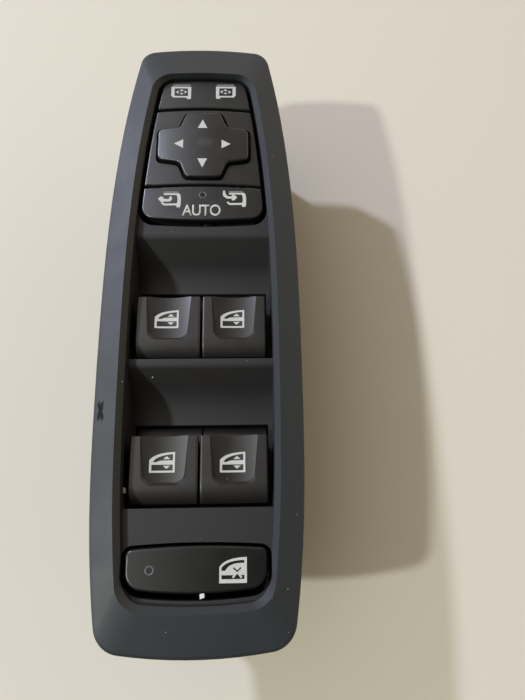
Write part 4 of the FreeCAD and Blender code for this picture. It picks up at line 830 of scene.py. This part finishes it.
# %% [markdown]
# ## Lamp windows
# Two small windows let a lamp shine through: one on the lock key, one on the folding key. Each shows as
# a thin grey ring round a smoked middle. The ring is a little lathe-turned collar: a profile is listed
# once, from outside to inside, and swept round the window's axis.

# %% A turned collar round each window
def turned(name, profile, centre, body, finish, steps=40):
    """A ring swept round an upright axis from (radius, height) points, closed on itself."""
    points, faces = [], []
    for n in range(steps):
        angle = 2 * math.pi * n / steps
        for radius, z in profile:
            x, y = radius * math.cos(angle), radius * math.sin(angle)
            points.append((centre[0] + x, centre[1] + y, z))
    count = len(profile)
    for n in range(steps):
        after = (n + 1) % steps
        for k in range(count):
            up = (k + 1) % count
            faces.append((n * count + k, after * count + k, after * count + up, n * count + up))
    mesh = bpy.data.meshes.new(name)
    mesh.from_pydata(points, [], faces)
    work = bmesh.new()
    work.from_mesh(mesh)
    bmesh.ops.recalc_face_normals(work, faces=work.faces)
    for face in work.faces:
        face.smooth = True
    work.to_mesh(mesh)
    work.free()
    mesh.materials.append(finish)
    return shown(name, mesh, body)


collar_grey = moulded(
    "collar_grey", (0.10, 0.10, 0.10), (0.15, 0.15, 0.15), (0.3, 0.4), 0.3, 0.05, drift_mm=2.0
)
for node, body in (("lock_lens", "lock"), ("fold_lens", "mirror_fold")):
    low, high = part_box(node)
    centre = (low + high) / 2
    radius, top = (high.x - low.x) / 2, high.z
    profile = [
        (radius + 0.06 * mm, top - 0.20 * mm), (radius + 0.06 * mm, top + 0.03 * mm),
        (radius - 0.10 * mm, top + 0.06 * mm), (radius - 0.36 * mm, top + 0.03 * mm),
        (radius - 0.36 * mm, top - 0.20 * mm),
    ]
    turned(node.replace("lens", "window_collar"), profile, centre, body, collar_grey)

# %% [markdown]
# ## Crumbs and dust
# A used panel picks up white crumbs and dust. Two crumbs and three small flecks lie where the picture
# shows them. Fine specks are scattered over the bezel's upper faces by a tree with a fixed seed, so
# every run gives the same dust. Each speck is one small squashed lump of eight faces.

# %% A lump shape for crumbs and dust
def lump(name, points, finish):
    """A small closed lump round a cloud of points."""
    work = bmesh.new()
    for point in points:
        work.verts.new(point)
    bmesh.ops.convex_hull(work, input=work.verts)
    loose = [v for v in work.verts if not v.link_faces]
    bmesh.ops.delete(work, geom=loose, context="VERTS")
    bmesh.ops.recalc_face_normals(work, faces=work.faces)
    mesh = bpy.data.meshes.new(name)
    work.to_mesh(mesh)
    work.free()
    mesh.materials.append(finish)
    return mesh


crumb_white = moulded(
    "crumb_white", (0.62, 0.62, 0.58), (0.78, 0.78, 0.74), (0.6, 0.8), 0.2, 0.5, drift_mm=1.0
)


def crumb(name, place, size, turn_by, body):
    """A flat irregular flake, sunk slightly into what it lies on."""
    points = []
    corners, step, sunk = 11, 2.4, 0.1
    c, s = math.cos(turn_by), math.sin(turn_by)
    for n in range(corners):
        spread = 0.55 + 0.45 * math.sin(1.7 * n + turn_by) ** 2
        x = math.cos(n * step) * spread * size[0] / 2
        y = math.sin(n * step) * spread * size[1] / 2
        lift = size[2] * (0.2 + 0.8 * (n % 3) / 2) - sunk
        for z in (lift, -sunk):
            points.append(Vector((place[0] + x * c - y * s, place[1] + x * s + y * c, place[2] + z)) * mm)
    return shown(name, lump(name, points, crumb_white), body)


crumb("crumb_at_key", (-23.4, -59.0, 48.6), (1.7, 2.4, 0.9), 0.3, "panel")
crumb("crumb_at_lock", (1.8, -89.3, 52.0), (2.3, 1.7, 0.4), 0.8, "lock")
crumb("fleck_in_rear_well", (-16.1, -22.6, 47.84), (0.55, 0.4, 0.15), 1.4, "panel")
crumb("fleck_on_rim_chamfer", (-24.8, -25.2, 53.5), (0.6, 0.7, 0.3), 0.5, "panel")
crumb("fleck_on_rear_right_key", (9.0, -56.0, 48.84), (0.4, 0.3, 0.12), 2.1, "rear_right")

# %% [markdown]
# ## Screws
# Four screws hold the housing to the bezel from below. Their heads have a cross recess for the driver,
# which the plain solid leaves out. One screw is modelled: a head with its recess, a shank and a
# helical thread. A tree then puts a copy at each place, which it reads from the solid screws.

# %% Model one screw
head_radius, head_height = 2.3 * mm, 2.0 * mm
shank_radius, shank_length, tip_radius = 1.15 * mm, 10.0 * mm, 0.35 * mm


def screw_mesh():
    """A pan-head screw, head down, its seat at Z = 0 and its shank rising."""
    work = bmesh.new()
    rings = []
    steps = 32
    profile = [(0.62, -1.0), (0.86, -0.93), (0.97, -0.72), (1.0, -0.45), (1.0, 0.0)]
    for r, z in profile:
        ring = []
        for n in range(steps):
            a = 2 * math.pi * n / steps
            x, y = head_radius * r * math.cos(a), head_radius * r * math.sin(a)
            ring.append(work.verts.new((x, y, z * head_height)))
        rings.append(ring)
    recess = []
    for depth, shrink in ((-1.0, 1.0), (-0.45, 0.72)):
        ring = []
        for n in range(steps):
            a = 2 * math.pi * n / steps
            arm = 1.25 * mm if (n % 8) in (7, 0, 1) else 0.52 * mm
            x, y = arm * shrink * math.cos(a), arm * shrink * math.sin(a)
            ring.append(work.verts.new((x, y, depth * head_height)))
        recess.append(ring)
    chain = [recess[1], recess[0]] + rings
    for inner, outer in zip(chain[:-1], chain[1:]):
        for n in range(steps):
            m = (n + 1) % steps
            work.faces.new((inner[n], inner[m], outer[m], outer[n]))
    work.faces.new(recess[1])
    turns, per_turn = 8, 16
    taper = 1.2 * mm
    shank = []
    for z, r in ((0.0, shank_radius), (shank_length - taper, shank_radius), (shank_length, tip_radius)):
        ring = []
        for n in range(per_turn):
            a = 2 * math.pi * n / per_turn
            ring.append(work.verts.new((r * math.cos(a), r * math.sin(a), z)))
        shank.append(ring)
    for low, high in zip(shank[:-1], shank[1:]):
        for n in range(per_turn):
            m = (n + 1) % per_turn
            work.faces.new((low[n], low[m], high[m], high[n]))
    work.faces.new(shank[-1])
    work.faces.new(shank[0][::-1])
    work.faces.new(rings[-1])
    thread_start, thread_run = 0.9 * mm, shank_length - 1.6 * mm
    thread_foot, thread_crest, thread_half = 1.10 * mm, 1.38 * mm, 0.32 * mm
    ridge = []
    for k in range(turns * per_turn + 1):
        a = 2 * math.pi * k / per_turn
        c, s = math.cos(a), math.sin(a)
        z = thread_start + thread_run * k / (turns * per_turn)
        ridge.append([
            work.verts.new((thread_foot * c, thread_foot * s, z - thread_half)),
            work.verts.new((thread_crest * c, thread_crest * s, z)),
            work.verts.new((thread_foot * c, thread_foot * s, z + thread_half)),
        ])
    for low, high in zip(ridge[:-1], ridge[1:]):
        for k in range(3):
            j = (k + 1) % 3
            work.faces.new((low[k], low[j], high[j], high[k]))
    work.faces.new(ridge[0][::-1])
    work.faces.new(ridge[-1])
    bmesh.ops.recalc_face_normals(work, faces=work.faces)
    mesh = bpy.data.meshes.new("one_screw")
    work.to_mesh(mesh)
    work.free()
    print("one screw, faces:", len(mesh.polygons))
    return mesh


one_screw = bpy.data.objects.new("one_screw", screw_mesh())

# %% Find the screws' places in the solids
def islands(mesh):
    """The separate lumps of a mesh as lists of points, found after its loose triangles are merged."""
    work = bmesh.new()
    work.from_mesh(mesh)
    bmesh.ops.remove_doubles(work, verts=work.verts, dist=same_point)
    left, found = set(work.verts), []
    while left:
        first = left.pop()
        group, queue = [first], [first]
        while queue:
            for edge in queue.pop().link_edges:
                for vert in edge.verts:
                    if vert in left:
                        left.remove(vert)
                        group.append(vert)
                        queue.append(vert)
        found.append([v.co.copy() for v in group])
    work.free()
    return found


seats = []
for group in islands(solids["housing_screws"].data):
    xs, ys, zs = [p.x for p in group], [p.y for p in group], [p.z for p in group]
    seats.append(((min(xs) + max(xs)) / 2, (min(ys) + max(ys)) / 2, min(zs) + head_height))
seats.sort()
print("screw seats in mm:", [[round(v / mm, 1) for v in seat] for seat in seats])

# %% A tree that puts a copy at each point
def make_copy_tree():
    tree = bpy.data.node_groups.new("copies_at_points", "GeometryNodeTree")
    face = tree.interface
    face.new_socket("Points", in_out="INPUT", socket_type="NodeSocketGeometry")
    face.new_socket("Piece", in_out="INPUT", socket_type="NodeSocketObject")
    face.new_socket("Turn", in_out="INPUT", socket_type="NodeSocketFloat")
    face.new_socket("Seed", in_out="INPUT", socket_type="NodeSocketInt")
    face.new_socket("Finish", in_out="INPUT", socket_type="NodeSocketMaterial")
    face.new_socket("Copies", in_out="OUTPUT", socket_type="NodeSocketGeometry")
    given = put(tree, "NodeGroupInput").outputs
    piece = put(tree, "GeometryNodeObjectInfo", Object=given["Piece"]).outputs["Geometry"]
    angle = put(
        tree, "FunctionNodeRandomValue", {"data_type": "FLOAT"},
        _2=0.0, _3=given["Turn"], Seed=given["Seed"],
    ).outputs[1]
    spin = put(tree, "ShaderNodeCombineXYZ", X=0.0, Y=0.0, Z=angle).outputs["Vector"]
    copies = put(
        tree, "GeometryNodeInstanceOnPoints", Points=given["Points"], Instance=piece, Rotation=spin
    ).outputs["Instances"]
    real = put(tree, "GeometryNodeRealizeInstances", Geometry=copies).outputs["Geometry"]
    done = put(
        tree, "GeometryNodeSetMaterial", Geometry=real, Material=given["Finish"]
    ).outputs["Geometry"]
    tree.links.new(done, put(tree, "NodeGroupOutput").inputs["Copies"])
    return tree


full_turn = 6.28
seat_points = bpy.data.meshes.new("screw_seats")
seat_points.from_pydata(seats, [], [])
cross_screws = made_by_tree(
    "cross_recess_screws", seat_points, make_copy_tree(),
    {"Piece": one_screw, "Turn": full_turn, "Seed": 4, "Finish": zinc_plate}, "panel",
)
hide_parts("housing_screws")

# %% [markdown]
# ## Dust on the bezel
# The specks are placed by a second tree: it picks points on the faces that look up and lie high on the
# bezel, and gives each a random size and turn. The seed is an input, so the dust never changes.

# %% Scatter specks
speck_points = [
    Vector(point) * mm for point in (
        (0.10, 0, 0), (-0.09, 0.03, 0), (0.01, 0.08, 0), (0, -0.07, 0), (0.01, 0, 0.04), (0, 0.01, -0.03)
    )
]
speck_shape = bpy.data.objects.new("one_speck", lump("one_speck", speck_points, crumb_white))


def make_dust_tree():
    tree = bpy.data.node_groups.new("dust_on_faces", "GeometryNodeTree")
    face = tree.interface
    face.new_socket("Surface", in_out="INPUT", socket_type="NodeSocketGeometry")
    face.new_socket("Speck", in_out="INPUT", socket_type="NodeSocketObject")
    face.new_socket("Per square metre", in_out="INPUT", socket_type="NodeSocketFloat")
    face.new_socket("Lowest", in_out="INPUT", socket_type="NodeSocketFloat")
    face.new_socket("Seed", in_out="INPUT", socket_type="NodeSocketInt")
    face.new_socket("Finish", in_out="INPUT", socket_type="NodeSocketMaterial")
    face.new_socket("Dust", in_out="OUTPUT", socket_type="NodeSocketGeometry")
    given = put(tree, "NodeGroupInput").outputs
    normal = put(tree, "GeometryNodeInputNormal").outputs["Normal"]
    up = put(tree, "ShaderNodeSeparateXYZ", Vector=normal).outputs["Z"]
    level = put(
        tree, "FunctionNodeCompare", {"data_type": "FLOAT", "operation": "GREATER_THAN"}, _0=up, _1=0.9
    ).outputs["Result"]
    position = put(tree, "GeometryNodeInputPosition").outputs["Position"]
    height = put(tree, "ShaderNodeSeparateXYZ", Vector=position).outputs["Z"]
    high = put(
        tree, "FunctionNodeCompare", {"data_type": "FLOAT", "operation": "GREATER_THAN"},
        _0=height, _1=given["Lowest"],
    ).outputs["Result"]
    both = put(tree, "FunctionNodeBooleanMath", {"operation": "AND"}, _0=level, _1=high).outputs[0]
    points = put(
        tree, "GeometryNodeDistributePointsOnFaces",
        Mesh=given["Surface"], Selection=both, Density=given["Per square metre"], Seed=given["Seed"],
    )
    size = put(
        tree, "FunctionNodeRandomValue", {"data_type": "FLOAT"}, _2=0.5, _3=1.6, Seed=given["Seed"]
    ).outputs[1]
    speck = put(tree, "GeometryNodeObjectInfo", Object=given["Speck"]).outputs["Geometry"]
    copies = put(
        tree, "GeometryNodeInstanceOnPoints",
        Points=points.outputs["Points"], Instance=speck, Rotation=points.outputs["Rotation"], Scale=size,
    ).outputs["Instances"]
    real = put(tree, "GeometryNodeRealizeInstances", Geometry=copies).outputs["Geometry"]
    done = put(
        tree, "GeometryNodeSetMaterial", Geometry=real, Material=given["Finish"]
    ).outputs["Geometry"]
    tree.links.new(done, put(tree, "NodeGroupOutput").inputs["Dust"])
    return tree


dust_settings = {
    "Speck": speck_shape, "Per square metre": 5000.0, "Lowest": 50.0 * mm, "Seed": 11,
    "Finish": crumb_white,
}
made_by_tree("dust_specks", solids["bezel"].data.copy(), make_dust_tree(), dust_settings, "panel")
